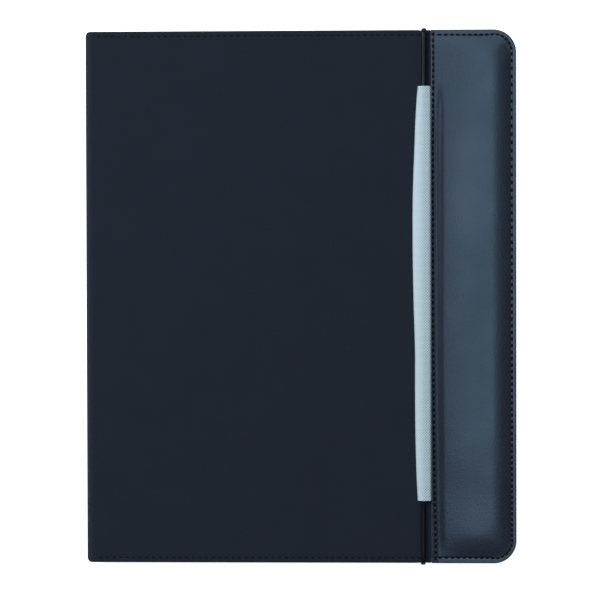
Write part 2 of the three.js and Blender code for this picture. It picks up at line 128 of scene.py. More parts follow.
class FolderColours(bpy.types.PropertyGroup):
    """Colours of the folder's finishes."""
    cloth: colour_prop("Cloth", (25, 29, 42), "Colour of the woven cover cloth")
    leatherette: colour_prop("Leatherette", (27, 27, 39), "Base colour of the padded panel")
    sheen: colour_prop("Leatherette gloss", (176, 220, 255), "Tint of the panel's gloss")
    sleeve: colour_prop("Sleeve", (182, 203, 213), "Colour of the twill sleeve")
    thread: colour_prop("Thread", (5, 6, 9), "Colour of the sewing thread")
    elastic: colour_prop("Elastic", (8, 10, 16), "Colour of the elastic cord")
    lining: colour_prop("Lining", (40, 46, 60), "Colour of the lining cloth")
    pocket: colour_prop("Pockets", (46, 53, 68), "Colour of the pocket cloth")
    paper: colour_prop("Paper", (244, 243, 236), "Colour of the pad's paper")


def sizes():
    return bpy.context.scene.folder_sizes


def colours():
    return bpy.context.scene.folder_colours


# Meshes

def spread(low, high, step):
    """Evenly spaced values from low to high, no further apart than step."""
    return np.linspace(low, high, max(2, int(math.ceil((high - low) / step)) + 1))


def dense_ends(low, high, fine, coarse, reach):
    """Values from low to high, spaced by fine within reach of both ends and by coarse between."""
    return np.concatenate([spread(low, low + reach, fine)[:-1], spread(low + reach, high - reach, coarse),
                           spread(high - reach, high, fine)[1:]])


def patch(points, flat=None):
    """A grid of points, rows by columns, with its place on the uncut cloth for the weave."""
    points = np.asarray(points, float)
    return points, points[..., :2] if flat is None else np.asarray(flat, float)


def closing_sides(under, over, flat=None):
    """The four narrow patches that close the gap between two grids of the same size."""
    flat = under[..., :2] if flat is None else flat
    sides = [(np.s_[:, k], 1) for k in (0, -1)] + [(np.s_[k], 0) for k in (0, -1)]
    return [patch(np.stack([under[at], over[at]], axis), np.stack([flat[at]] * 2, axis)) for at, axis in sides]


def grid_quads(rows, columns, start):
    """The corners of every quad of a grid whose points are numbered row after row."""
    index = np.arange(rows * columns).reshape(rows, columns) + start
    return np.stack([index[:-1, :-1], index[1:, :-1], index[1:, 1:], index[:-1, 1:]], -1).reshape(-1, 4)


def turn_faces_out(mesh, merge=False):
    """Turns a mesh's faces outwards, after merging the points that its patches share."""
    work = bmesh.new()
    work.from_mesh(mesh)
    if merge:
        bmesh.ops.remove_doubles(work, verts=work.verts, dist=0.01 * MM)
        bmesh.ops.dissolve_degenerate(work, edges=work.edges, dist=0.001 * MM)
    bmesh.ops.recalc_face_normals(work, faces=work.faces)
    work.to_mesh(mesh)
    work.free()


def add_object(mesh, material):
    """The smooth object of a finished mesh, with the mesh's name, in the scene."""
    mesh.polygons.foreach_set("use_smooth", np.full(len(mesh.polygons), True))
    mesh.materials.append(material)
    thing = bpy.data.objects.new(mesh.name, mesh)
    bpy.context.scene.collection.objects.link(thing)
    return thing


def mesh_object(name, patches, material, facing=None):
    """Patches sewn into one mesh: shared points are merged, and the faces point out, or towards facing."""
    points, flats, quads, count = [], [], [], 0
    for grid, flat in patches:
        rows, columns = grid.shape[:2]
        quads.append(grid_quads(rows, columns, count))
        points.append(grid.reshape(-1, 3))
        flats.append(flat.reshape(-1, 2))
        count += rows * columns
    points, flats, quads = (np.concatenate(part) for part in (points, flats, quads))
    mesh = bpy.data.meshes.new(name)
    mesh.from_pydata(points, [], quads.tolist())
    layer = mesh.uv_layers.new(name="cut")
    corners = np.zeros(len(mesh.loops), np.int64)
    mesh.loops.foreach_get("vertex_index", corners)
    layer.data.foreach_set("uv", flats[corners].astype(np.float32).ravel())
    turn_faces_out(mesh, merge=True)
    if facing is not None:
        normals = np.zeros(len(mesh.polygons) * 3)
        areas = np.zeros(len(mesh.polygons))
        mesh.polygons.foreach_get("normal", normals)
        mesh.polygons.foreach_get("area", areas)
        if (normals.reshape(-1, 3) @ np.array(facing, float) * areas).sum() < 0:
            mesh.flip_normals()
    return add_object(mesh, material)


def give_thickness(thing, thickness):
    """A wall of that thickness, grown inwards and made part of the mesh."""
    wall = thing.modifiers.new("wall", "SOLIDIFY")
    wall.thickness = thickness
    wall.offset = -1
    wall.use_even_offset = False
    bpy.context.view_layer.update()
    done = bpy.data.meshes.new_from_object(thing.evaluated_get(bpy.context.evaluated_depsgraph_get()))
    done.set_sharp_from_angle(angle=math.radians(50))
    thing.modifiers.clear()
    thing.data = done
    return thing


def declare_sheet(thing, flat):
    """Reads the area of each of the sheet's faces and keeps nothing of it; flat, the rectangle it is cut from, is not
    used.
    """
    areas = np.zeros(len(thing.data.polygons))
    thing.data.polygons.foreach_get("area", areas)


def belong(thing, body, nodes=()):
    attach(thing, body)
    if nodes:
        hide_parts(*nodes)


def smooth_step(value):
    """From 0 to 1 with a level start and end."""
    value = np.clip(value, 0, 1)
    return value * value * (3 - 2 * value)


def round_step(value):
    """From 0 to 1, steep at first and level at the end, as a quarter of a sine."""
    return np.sin(np.clip(value, 0, 1) * QUARTER)


def bell(value, width):
    """A bell curve, 1 where the value is 0."""
    return np.exp(-(value / width) ** 2)


def distances(points):
    """The way along a line from its first point to each of its points."""
    return np.concatenate([[0], np.cumsum(np.linalg.norm(np.diff(points, axis=0), axis=1))])


def points_of(*parts):
    """Points from coordinates that are spread over each other's rows and columns."""
    return np.stack(np.broadcast_arrays(*parts), -1)


def rim_profile(radius, depth, hem=0.8 * MM, turn_in=2.2 * MM):
    """How cloth turns over a board's edge, as (out, down): a quarter round, a wall, a smaller quarter, a flat hem."""
    turn = np.linspace(0, QUARTER, 8)
    out = np.concatenate([radius * np.sin(turn), [radius], radius - hem * (1 - np.cos(turn)),
                          [radius - hem - turn_in]])
    middle = (radius + depth - hem) / 2
    down = np.concatenate([radius * (1 - np.cos(turn)), [middle], depth - hem + hem * np.sin(turn), [depth]])
    return out, down


def rim(path, outward, downward, radius, depth, flat_path, flat_out):
    """The rim profile carried along a path, with its depth given at each point of the path."""
    depth = np.broadcast_to(depth, len(path))
    out, _ = rim_profile(radius, depth[0])
    downs = np.stack([rim_profile(radius, value)[1] for value in np.unique(depth)])
    down = downs[np.searchsorted(np.unique(depth), depth)]
    grid = path[:, None] + outward[:, None] * out[None, :, None] + downward[:, None] * down[..., None]
    run = distances(np.stack([out, down[0]], -1))
    return patch(grid, flat_path[:, None] + flat_out[:, None] * run[None, :, None])


# The line of the cloth round the spine

def spine_rest():
    """Half the flat height of the spine, and the distance along the cloth from its middle to the front cover."""
    flat = CLOTH_TOP / 2 - sizes().shoulder
    return flat, flat + sizes().shoulder * QUARTER


def wrap(run):
    """Points on the cloth's outer line at a distance from the middle of the spine, positive towards the front.

    Up the flat of the spine, a quarter circle over the shoulder, then straight along the cover.
    Gives x, z and the outward direction in that plane."""
    radius = sizes().shoulder
    flat, _ = spine_rest()
    far = np.abs(run)
    turn = np.clip((far - flat) / radius, 0, QUARTER)
    along = np.clip(far - flat - radius * QUARTER, 0, None)
    side = np.where(run < 0, -1.0, 1.0)
    x = LEFT + radius * (1 - np.cos(turn)) + along
    z = CLOTH_TOP / 2 + side * (np.minimum(far, flat) + radius * np.sin(turn))
    return x, z, -np.cos(turn), side * np.sin(turn)


def half_height(x):
    """Half of the folder's height at x: less in the small corners at the spine and the large ones at the fore-edge."""
    near, fore = sizes().spine_corner, sizes().fore_corner
    in_near = np.clip((LEFT + near - x) / near, 0, 1)
    in_fore = np.clip((x - RIGHT + fore) / fore, 0, 1)
    return HALF - near * (1 - np.sqrt(1 - in_near ** 2)) - fore * (1 - np.sqrt(1 - in_fore ** 2))


def rim_depth(run):
    """How far the turned edge reaches in from the outer face, from back cover to spine to front cover."""
    flat, end = spine_rest()
    spine = SPINE_INSIDE - LEFT
    return np.interp(run, [-end, -flat, flat, end], [BACK_INSIDE, spine, spine, CLOTH_TOP - FRONT_INSIDE])


def cord_dent(x):
    """How far the taut elastic presses the turned edge in: a bell curve round the cord."""
    return 0.35 * MM * bell(x - CORD_X, 2.3 * MM)


def cloth_wrap(run, rows):
    """The outer cloth over a stretch of the wrap, with both turned edges: a grid of run by height, and two rims.

    The cloth dips by a fine wave along its stitching. It gives way under the elastic, and under the leatherette
    it lies a little further in and lower."""
    x, z, nx, nz = wrap(run)
    lapped = smooth_step((x - SEAM + 0.1 * MM) / (0.3 * MM)) * (run > 0)
    outline = half_height(x) - np.where(run > 0, cord_dent(x), 0) - 0.45 * MM * lapped
    z = z - 0.06 * MM * lapped
    y = rows[None, :] * (outline - sizes().edge)[:, None]
    to_edge = outline[:, None] - np.abs(y)
    lies_flat = smooth_step((np.abs(run) - spine_rest()[1]) / (2 * MM))[:, None]
    wave = 0.6 + 0.4 * np.cos(2 * math.pi * run[:, None] / CLOTH_STITCH_PITCH)
    dip = -0.24 * MM * bell(to_edge - CLOTH_STITCH_INSET, 0.6 * MM) * wave * lies_flat
    swell = 0.05 * MM * np.sin(61 * run[:, None] + 2) * np.sin(47 * y + 1) * lies_flat
    lift = dip + swell * smooth_step(to_edge / (12 * MM))
    direction = points_of(nx, 0, nz)
    place = points_of(x[:, None], y, z[:, None]) + direction[:, None] * lift[..., None]
    flat = points_of(run[:, None], y)
    patches = [patch(place, flat)]
    for side, column in ((1, -1), (-1, 0)):
        patches.append(rim(place[:, column], level(run, (0, side, 0)), -direction, sizes().edge, rim_depth(run),
                           flat[:, column], level(run, (0, side))))
    return patches


def fore_path(left, inset, step):
    """The outline from the seam or spine along the foot, round the fore-edge and back along the head.

    Gives points and outward directions, drawn in from the real outline by inset."""
    radius = sizes().fore_corner - inset
    centre_x, centre_y = RIGHT - sizes().fore_corner, HALF - sizes().fore_corner
    foot = spread(left, centre_x, step)[:-1]
    turn = np.linspace(-QUARTER, 0, 17)
    fore = spread(-centre_y, centre_y, step)[1:-1]
    straight = points_of(foot, -HALF + inset)
    corner = points_of(centre_x + radius * np.cos(turn), -centre_y + radius * np.sin(turn))
    edge = points_of(RIGHT - inset, fore)
    points = np.concatenate([straight, corner, edge, corner[::-1] * [1, -1], straight[::-1] * [1, -1]])
    down, out = level(foot, (0, -1)), points_of(np.cos(turn), np.sin(turn))
    directions = np.concatenate([down, out, level(fore, (1, 0)), out[::-1] * [1, -1], -down])
    return points, directions


def cover_field(straight, rows, edge):
    """The x, y and half heights of a cover's grid whose last columns close in round the fore-edge corners."""
    corner = sizes().fore_corner
    turn = np.linspace(0, QUARTER, 17)
    x = np.concatenate([straight[:-1], RIGHT - corner + (corner - edge) * np.sin(turn)])
    in_corner = np.concatenate([np.zeros(len(x) - len(turn)), 1 - np.cos(turn)])
    reach = HALF - edge - (corner - edge) * in_corner
    return x, rows[None, :] * reach[:, None]


def flat_rim(start, edge, depth, step, height):
    """A rim that hangs from the outline of a cover, at height(x, y), and is level otherwise."""
    path, outward = fore_path(start, edge, step)
    ring = np.column_stack([path, height(*path.T)])
    out3 = np.column_stack([outward, np.zeros(len(path))])
    return rim(ring, out3, level(ring, (0, 0, np.sign(depth))), edge, abs(depth), path, outward)


def panel_distance(x, y):
    """Distance inwards from the rounded outline of the fore-edge, head and foot."""
    radius = sizes().fore_corner
    across, along = x - RIGHT + radius, np.abs(y) - HALF + radius
    return radius - np.hypot(np.maximum(across, 0), np.maximum(along, 0)) - np.minimum(np.maximum(across, along), 0)


def seam_stitch(y):
    """How far the seam's stitching is from the edge of the leatherette: it drifts in towards the foot."""
    return np.interp(y, np.array([-155, -140, -122, -93, -62, -26, 57, 156]) * MM,
                     np.array([2.75, 2.6, 2.25, 1.95, 1.65, 1.4, 1.45, 1.6]) * MM)


def built_rise(distance, stations, degrees):
    """A rise from 0 to 1 over a distance, added up from its slope in degrees at stations in millimetres."""
    fine = np.linspace(0, stations[-1], 400)
    slope = np.tan(np.radians(np.interp(fine, stations, degrees)))
    rise = np.concatenate([[0], np.cumsum((slope[1:] + slope[:-1]) / 2)])
    return np.interp(distance / MM, fine, rise / rise[-1])


def edge_stitch(x, y):
    """How far the outer stitching is from the edge: a little more along head and foot than along the fore-edge."""
    more = np.where(y > 0, 0.4 * MM, 0.6 * MM)
    return sizes().stitch_inset + more * smooth_step((RIGHT - 8 * MM - x) / (11 * MM))


def panel_height(x, y):
    """Height of the padded leatherette: a stitched margin, and a field that rises from it on all sides.

    Along the outline the rise is a quarter wave, and head, foot and fore-edge meet in a smooth minimum. Along the
    seam it is added up from slopes: even and long where the cover is free, and short and steep beside the sleeve,
    where the elastic presses. Stitches pull valleys, and the edge leans towards the seam's row."""
    margin = PANEL_TOP - sizes().padding
    edge, seam = panel_distance(x, y), x - SEAM
    across, along = RIGHT - x, HALF - np.abs(y)
    near = np.clip(1 - np.abs(across - along) / (16 * MM), 0, 1)
    inner = np.minimum(across, along) - near ** 2 * 3 * MM
    share = smooth_step(0.5 + (across - along) / (30 * MM))
    fore_width, end_width = 12 * MM, np.where(y < 0, 16 * MM, 14 * MM)
    rise_edge = round_step((inner - 3.4 * MM) / (fore_width + (end_width - fore_width) * share))
    rise_edge = rise_edge * smooth_step((edge - 2.6 * MM) / (1.6 * MM))
    unpressed = 1 - smooth_step((SLEEVE_HIGH.y + 3 * MM - y) / (20 * MM)) \
        + 0.45 * smooth_step((-70 * MM - y) / (60 * MM))
    row = seam_stitch(y)
    after = seam - row
    free = built_rise(after, [0, 6, 14, 24, 34], [3.2, 3.4, 3.2, 2.2, 0])
    beside_sleeve = built_rise(after, [0, 2.2, 3.4, 4.8, 6.2, 10, 16, 22], [3.4, 3.6, 15.5, 15.5, 3.6, 2.6, 1.5, 0])
    rise_seam = unpressed * free + (1 - unpressed) * beside_sleeve
    waves = 0.03 * MM * (np.sin(97 * y + 3 * np.sin(55 * x)) + np.sin(171 * y + 60 * x + 1))
    height = margin + (sizes().padding + waves) * rise_edge * rise_seam
    pressed = 0.14 * row * smooth_step((SLEEVE_HIGH.y - 15 * MM - y) / (15 * MM))
    lean = pressed * np.where(after < 0, np.clip(seam / row, 0, 1), bell(after, 0.9 * MM))
    pull = 0.6 + 0.4 * np.cos(2 * math.pi * y / sizes().seam_pitch)
    return height - 0.2 * MM * bell(edge - edge_stitch(x, y), 0.42 * MM) - lean \
        - 0.24 * MM * bell(after, 0.45 * MM) * pull


# Thread

def thread_run(name, points, normals, pitch, size, material):
    """A row of stitches: small arched capsules, each a fixed length, along a line, the pitch given once or per point.

    A stitch's centre line is a parabola over the surface and its section a circle that narrows to both ends."""
    length, width = size
    run = distances(points)
    steps = np.diff(run)
    pitch = np.broadcast_to(pitch, len(points))
    counted = np.concatenate([[0], np.cumsum(2 * steps / (pitch[1:] + pitch[:-1]))])
    count = max(1, int(round(counted[-1])))
    at = np.interp((np.arange(count) + 0.5) * counted[-1] / count, counted, run)

    def sample(values, where):
        return np.stack([np.interp(where, run, values[:, k]) for k in range(3)], -1)

    centre, normal = sample(points, at), sample(normals, at)
    tangent = sample(points, at + 0.3 * MM) - sample(points, at - 0.3 * MM)
    tangent /= np.linalg.norm(tangent, axis=1)[:, None]
    normal /= np.linalg.norm(normal, axis=1)[:, None]
    rings, corners = 7, 6
    along = np.linspace(-1, 1, rings)[:, None]
    round_it = np.linspace(0, 2 * math.pi, corners, endpoint=False)[None, :]
    radius = width / 2 * np.sqrt(1.02 - along ** 2 * 0.9)
    upwards = radius * 0.7 * np.sin(round_it) + width * 0.42 * (1 - 1.35 * along ** 2)
    one = points_of(along * length / 2, radius * np.cos(round_it), upwards).reshape(-1, 3)
    axes = np.stack([tangent, np.cross(normal, tangent), normal], 1)
    stitches = centre[:, None] + np.einsum("vk,nkd->nvd", one, axes)
    around = [(k, (k + 1) % corners) for k in range(corners)]
    faces = [[a + corners * k, b + corners * k, b + corners * (k + 1), a + corners * (k + 1)]
             for k in range(rings - 1) for a, b in around]
    caps = [list(range(corners))[::-1], list(range(len(one) - corners, len(one)))]
    shift = (np.arange(count) * len(one))[:, None, None]
    quads = (np.array(faces)[None] + shift).reshape(-1, 4).tolist()
    ends = (np.array(caps)[None] + shift).reshape(-1, corners).tolist()
    mesh = bpy.data.meshes.new(name)
    mesh.from_pydata(stitches.reshape(-1, 3), [], quads + ends)
    turn_faces_out(mesh)
    return add_object(mesh, material)


def sew(name, points, facing, pitch, size, body):
    """A row of dark stitches that rides with a body."""
    belong(thread_run(name, points, level(points, facing), pitch, size, dark_thread()), body)


def line(start, end, step=1 * MM):
    """Points from start to end."""
    start, end = np.array(start, float), np.array(end, float)
    share = np.linspace(0, 1, max(2, int(np.linalg.norm(end - start) / step)))[:, None]
    return start + (end - start) * share


def level(points, direction):
    return np.tile(np.array(direction, float), (len(points), 1))


# Finishes

class Wiring:
    """A material or group tree, with short ways to add nodes and join them."""

    def __init__(self, tree):
        self.tree = tree

    def add(self, kind, settings=None, **inputs):
        node = self.tree.nodes.new("ShaderNode" + kind)
        for name, value in (settings or {}).items():
            setattr(node, name, value)
        for name, value in inputs.items():
            self.put(node.inputs[name.replace("_", " ")], value)
        return node

    def put(self, socket, value):
        if isinstance(value, bpy.types.NodeSocket):
            self.tree.links.new(value, socket)
        elif socket.type == "RGBA" and len(value) == 3:
            socket.default_value = (*value, 1)
        else:
            socket.default_value = value

    def math(self, operation, first, second=0.0):
        node = self.tree.nodes.new("ShaderNodeMath")
        node.operation = operation
        self.put(node.inputs[0], first)
        self.put(node.inputs[1], second)
        return node.outputs[0]

    def plus(self, first, second):
        return self.math("ADD", first, second)

    def minus(self, first, second):
        return self.math("SUBTRACT", first, second)

    def times(self, first, second):
        return self.math("MULTIPLY", first, second)

    def over(self, first, second):
        return self.math("DIVIDE", first, second)

    def noise(self, place, scale, detail, **inputs):
        return self.add("TexNoise", None, Vector=place, Scale=scale, Detail=detail, **inputs).outputs[0]

    def wave(self, value):
        """A sine between 0 and 1."""
        return self.plus(0.5, self.times(self.math("SINE", value), 0.5))

    def tint(self, tone, mask, amount, colour):
        """The tone, mixed with a colour by amount where the mask is 1."""
        return self.mix(self.times(mask, amount), tone, colour)

    def mix(self, share, first, second):
        node = self.tree.nodes.new("ShaderNodeMix")
        node.data_type = "RGBA"
        for socket, value in zip((node.inputs[0], node.inputs[6], node.inputs[7]), (share, first, second)):
            self.put(socket, value)
        return node.outputs[2]

    def range(self, value, low, high, to_low=0.0, to_high=1.0):
        node = self.add("MapRange", None, Value=value)
        for socket, number in zip(list(node.inputs)[1:5], (low, high, to_low, to_high)):
            socket.default_value = number
        return node.outputs[0]

    def axes(self, vector):
        return self.add("SeparateXYZ", None, Vector=vector).outputs


def shared_effect(name, build, size, *outputs):
    """A node group of a place and a size, built once: build gets the wiring and both, and gives its outputs' values."""
    group = bpy.data.node_groups.get(name)
    if group:
        return group
    group = bpy.data.node_groups.new(name, "ShaderNodeTree")
    group.interface.new_socket(name="Vector", in_out="INPUT", socket_type="NodeSocketVector")
    group.interface.new_socket(name=size, in_out="INPUT", socket_type="NodeSocketFloat")
    for label in outputs:
        group.interface.new_socket(name=label, in_out="OUTPUT", socket_type="NodeSocketFloat")
    wires = Wiring(group)
    entry = group.nodes.new("NodeGroupInput").outputs
    leave = group.nodes.new("NodeGroupOutput")
    for socket, value in zip(leave.inputs, build(wires, entry["Vector"], entry[size])):
        wires.put(socket, value)
    return group


def use_effect(wires, group, **inputs):
    node = wires.tree.nodes.new("ShaderNodeGroup")
    node.node_tree = group
    for name, value in inputs.items():
        wires.put(node.inputs[name.replace("_", " ")], value)
    return node.outputs


def plain_weave():
    """Crossing threads: where the sines of both directions agree in sign the warp is on top, and elsewhere the weft."""
    def build(wires, place, pitch):
        x, y, _ = wires.axes(place)
        across, along = (wires.math("SINE", wires.times(wires.over(axis, pitch), math.pi)) for axis in (x, y))
        warp_over = wires.math("GREATER_THAN", wires.times(across, along), 0)
        up_x, up_y = wires.math("ABSOLUTE", across), wires.math("ABSOLUTE", along)
        warp, weft = (wires.times(one, wires.plus(0.55, wires.times(other, 0.45)))
                      for one, other in ((up_x, up_y), (up_y, up_x)))
        height = wires.plus(wires.times(warp, warp_over), wires.times(weft, wires.minus(1, warp_over)))
        return height, warp_over
    return shared_effect("Plain Weave", build, "Pitch", "Height", "Warp")


def thread_slub():
    """Uneven yarn: long noise across and along the cloth, and a slow cloud."""
    def build(wires, place, scale):
        long_one, long_two = (
            wires.noise(wires.add("Mapping", None, Vector=place, Scale=stretch).outputs[0], scale, 2)
            for stretch in ((1, 0.06, 1), (0.06, 1, 1)))
        both = wires.times(wires.plus(long_one, long_two), 0.5)
        return wires.range(both, 0.36, 0.64), wires.range(wires.noise(place, 38, 3), 0.3, 0.7)
    return shared_effect("Thread Slub", build, "Scale", "Slub", "Cloud")


def soft_grain():
    """Pebbled skin: rounded cells and a fine noise, with a slow change over the surface."""
    def build(wires, place, scale):
        cells = wires.add("TexVoronoi", {"feature": "SMOOTH_F1"}, Vector=place, Scale=scale, Smoothness=0.6).outputs[0]
        height = wires.plus(wires.minus(1, cells), wires.times(wires.noise(place, 2600, 3), 0.35))
        return height, wires.range(wires.noise(place, 30, 3), 0.32, 0.68)
    return shared_effect("Soft Grain", build, "Scale", "Height", "Cloud")


def twill_ribs():
    """Diagonal ribs: a sine across them, whose grooves are deepest where a second set of ribs dips too."""
    def build(wires, place, pitch):
        x, y, _ = wires.axes(place)
        across, along = (wires.over(wires.times(axis, 2 * math.pi * 0.7071), pitch)
                         for axis in (wires.minus(y, x), wires.plus(x, y)))
        rib = wires.wave(wires.plus(across, wires.times(wires.noise(place, 140, 2), 3)))
        share = wires.range(wires.wave(along), 0, 1, 1.0, 0.3)
        return [wires.minus(1, wires.times(wires.minus(1, rib), share))]
    return shared_effect("Twill Ribs", build, "Pitch", "Height")


def new_finish(name, roughness, specular=0.5, **constants):
    """A new material's wiring and its Principled shader, with the unchanging values set on its own sockets."""
    material = bpy.data.materials.new(name)
    material.use_nodes = True
    shader = material.node_tree.nodes["Principled BSDF"]
    shader.inputs["Roughness"].default_value = roughness
    shader.inputs["Specular IOR Level"].default_value = specular
    for label, value in constants.items():
        shader.inputs[label.replace("_", " ")].default_value = value
    return Wiring(material.node_tree), shader


def made_once(build):
    """A finish whose material is looked up by its name, and built where there is none."""
    @functools.wraps(build)
    def finish(name, *details, **named):
        if name not in bpy.data.materials:
            build(name, *details, **named)
        return bpy.data.materials[name]
    return finish


def cut_place(wires):
    return wires.add("UVMap", {"uv_map": "cut"}).outputs[0]


def object_place(wires):
    return wires.add("TexCoord").outputs["Object"]


def dress(wires, shader, tone, roughness, height, distance, strength):
    """Joins the tone, the roughness and the raised pattern to the shader."""
    wires.put(shader.inputs["Base Color"], tone)
    wires.put(shader.inputs["Roughness"], roughness)
    bump = wires.add("Bump", None, Height=height, Distance=distance, Strength=strength)
    wires.put(shader.inputs["Normal"], bump.outputs[0])


def shade(colour, amount):
    """The colour, lighter above 1 and darker below."""
    return tuple(min(1.0, c * amount) for c in colour)


@made_once
def woven_finish(name, colour, pitch, contrast=0.5, place=cut_place, roughness=0.9, depth=0.10):
    """Woven cloth: two tones for warp and weft, slubs and clouds in the tone, raised threads, and painted shade that
    darkens the low places between the threads.
    """
    wires, shader = new_finish(name, roughness, 0.26, Specular_Tint=(0.65, 0.92, 1, 1))
    where = place(wires)
    threads = use_effect(wires, plain_weave(), Vector=where, Pitch=pitch)
    yarn = use_effect(wires, thread_slub(), Vector=where, Scale=0.55 / pitch)
    tone = wires.mix(threads["Warp"], shade(colour, 1 - contrast), shade(colour, 1 + contrast))
    tone = wires.tint(tone, yarn["Slub"], 0.3, shade(colour, 1.5))
    tone = wires.tint(tone, yarn["Cloud"], 0.22, shade(colour, 0.62))
    # Painted shade: where the threads lie low, the tone is darkened towards a third of the colour.
    tone = wires.mix(wires.range(threads["Height"], 0.0, 0.55, 0.55, 1.0), shade(colour, 0.35), tone)
    rise = wires.plus(threads["Height"], wires.times(yarn["Slub"], 0.6))
    dress(wires, shader, tone, wires.range(yarn["Slub"], 0, 1, roughness - 0.08, roughness + 0.06),
          rise, depth * MM, 0.8)


@made_once
def leatherette_finish(name):
    """Glossy coated cloth: a dark base, a blue-grey gloss, pebbled grain, a slow unevenness, and painted shade that
    darkens the pits between the pebbles.
    """
    wires, shader = new_finish(name, 0.3, 0.5, Specular_Tint=(*colours().sheen, 1))
    grain = use_effect(wires, soft_grain(), Vector=object_place(wires), Scale=950)
    base = tuple(colours().leatherette)
    tone = wires.tint(shade(base, 1.12), grain["Cloud"], 0.4, shade(base, 0.84))
    # Painted shade: the low pits of the grain are darkened towards 0.7 of the base.
    tone = wires.mix(wires.range(grain["Height"], 0.35, 1.1, 0.0, 1.0), shade(base, 0.7), tone)
    dress(wires, shader, tone, wires.range(grain["Cloud"], 0, 1, 0.28, 0.34), grain["Height"], 0.05 * MM, 0.55)


@made_once
def twill_finish(name):
    """Pale twill: diagonal ribs that stand out most on the side of the cord away from the spine, with painted shade in
    their grooves that grows darker and bluer on that side, where the sleeve slopes away from the light.
    """
    wires, shader = new_finish(name, 0.86, 0.25)
    where = cut_place(wires)
    ribs = use_effect(wires, twill_ribs(), Vector=where, Pitch=sizes().twill)
    yarn = use_effect(wires, thread_slub(), Vector=where, Scale=1300)
    x = wires.axes(object_place(wires))[0]
    # How deep the ribs are and how strong their painted groove shade is: most on the side away from the spine, which
    # stands for the sleeve sloping away from the light.
    rib_relief_and_shade = wires.range(x, CORD_X - 4.2 * MM, CORD_HIGH.x + 0.2 * MM, 0.2, 1.15)
    base = tuple(colours().sleeve)
    # Painted shade: the grooves between the ribs are darkened towards a dark blue-grey.
    groove = wires.times(wires.minus(1, ribs["Height"]), rib_relief_and_shade)
    tone = wires.mix(groove, base, shade((base[0] * 0.8, base[1], base[2] * 1.22), 0.4))
    tone = wires.tint(tone, yarn["Slub"], 0.22, shade(base, 0.8))
    tone = wires.tint(tone, yarn["Cloud"], 0.12, shade(base, 0.86))
    rise = wires.plus(wires.times(ribs["Height"], rib_relief_and_shade), wires.times(yarn["Slub"], 0.3))
    dress(wires, shader, tone, wires.range(yarn["Slub"], 0, 1, 0.8, 0.92), rise, 0.16 * MM, 0.9)


@made_once
def braid_finish(name, colour, pitch):
    """Braided elastic: strands that cross on the cord's own unrolled surface, painted darker in the gaps between
    strands and lighter on their crests as painted shade and light.
    """
    wires, shader = new_finish(name, 0.34, 0.2, Specular_Tint=(0.6, 0.75, 1, 1))
    x, y, _ = wires.axes(cut_place(wires))
    one, two = (wires.math("SINE", wires.times(axis, 2 * math.pi / pitch))
                for axis in (wires.plus(x, y), wires.minus(x, y)))
    strands = wires.plus(0.5, wires.times(wires.math("MAXIMUM", one, two), 0.5))
    fuzz = wires.noise(object_place(wires), 2200, 2)
    # Painted shade and light: the tone runs from dark in the gaps between strands to light on their crests.
    tone = wires.mix(wires.range(strands, 0.2, 1.0), shade(colour, 0.45), shade(colour, 1.25))
    tone = wires.tint(tone, fuzz, 0.3, shade(colour, 0.7))
    dress(wires, shader, tone, wires.range(fuzz, 0.3, 0.7, 0.3, 0.42), strands, 0.06 * MM, 0.7)


@made_once
def thread_finish(name, colour):
    """Waxed sewing thread: fine twist, painted darker in its grooves and lighter on its ridges as painted shade and
    light, and a little gloss.
    """
    wires, shader = new_finish(name, 0.7, 0.12)
    twist = wires.add("TexWave", {"bands_direction": "DIAGONAL"}, Vector=object_place(wires), Scale=900,
                      Distortion=1.5).outputs[1]
    # Painted shade and light: the tone follows the twist, dark in its grooves and light on its ridges.
    tone = wires.mix(twist, shade(colour, 0.6), shade(colour, 1.3))
    dress(wires, shader, tone, wires.range(twist, 0, 1, 0.65, 0.8), twist, 0.04 * MM, 0.6)


@made_once
def ruled_paper_finish(name):
    """Ruled paper: pale blue lines and a double margin on the top sheet, and fine dark lines between the sheets on the
    block's edges, painted shade in the gaps.
    """
    wires, shader = new_finish(name, 0.92, 0.15)
    place = object_place(wires)
    x, y, z = wires.axes(place)
    low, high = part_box("pad_pages")
    fibre = wires.noise(place, 900, 4)
    base = tuple(colours().paper)
    tone = wires.tint(base, fibre, 0.18, shade(base, 0.86))
    on_top = wires.math("GREATER_THAN", z, high.z - 0.02 * MM)
    from_head = wires.minus(high.y - 24 * MM, y)
    share = wires.math("FRACT", wires.over(from_head, sizes().ruling))
    rule = wires.times(wires.math("LESS_THAN", share, 0.3 * MM / sizes().ruling),
                       wires.math("GREATER_THAN", from_head, -0.1 * MM))
    tone = wires.tint(tone, wires.times(rule, on_top), 0.75, linear(150, 176, 204))
    for offset in (31.0, 32.6):
        near = wires.math("ABSOLUTE", wires.minus(x, low.x + offset * MM))
        margin = wires.times(wires.math("LESS_THAN", near, 0.17 * MM), on_top)
        tone = wires.tint(tone, margin, 0.7, linear(214, 134, 134))
    # Painted shade: thin dark lines every 0.2 mm on the block's edges stand for the gaps between sheets.
    layers = wires.math("FRACT", wires.over(z, 0.2 * MM))
    side = wires.times(wires.math("LESS_THAN", layers, 0.32), wires.minus(1, on_top))
    tone = wires.tint(tone, side, 0.35, shade(base, 0.5))
    rise = wires.plus(fibre, wires.times(side, -1.5))
    dress(wires, shader, tone, wires.range(fibre, 0.3, 0.7, 0.86, 0.96), rise, 0.02 * MM, 0.5)


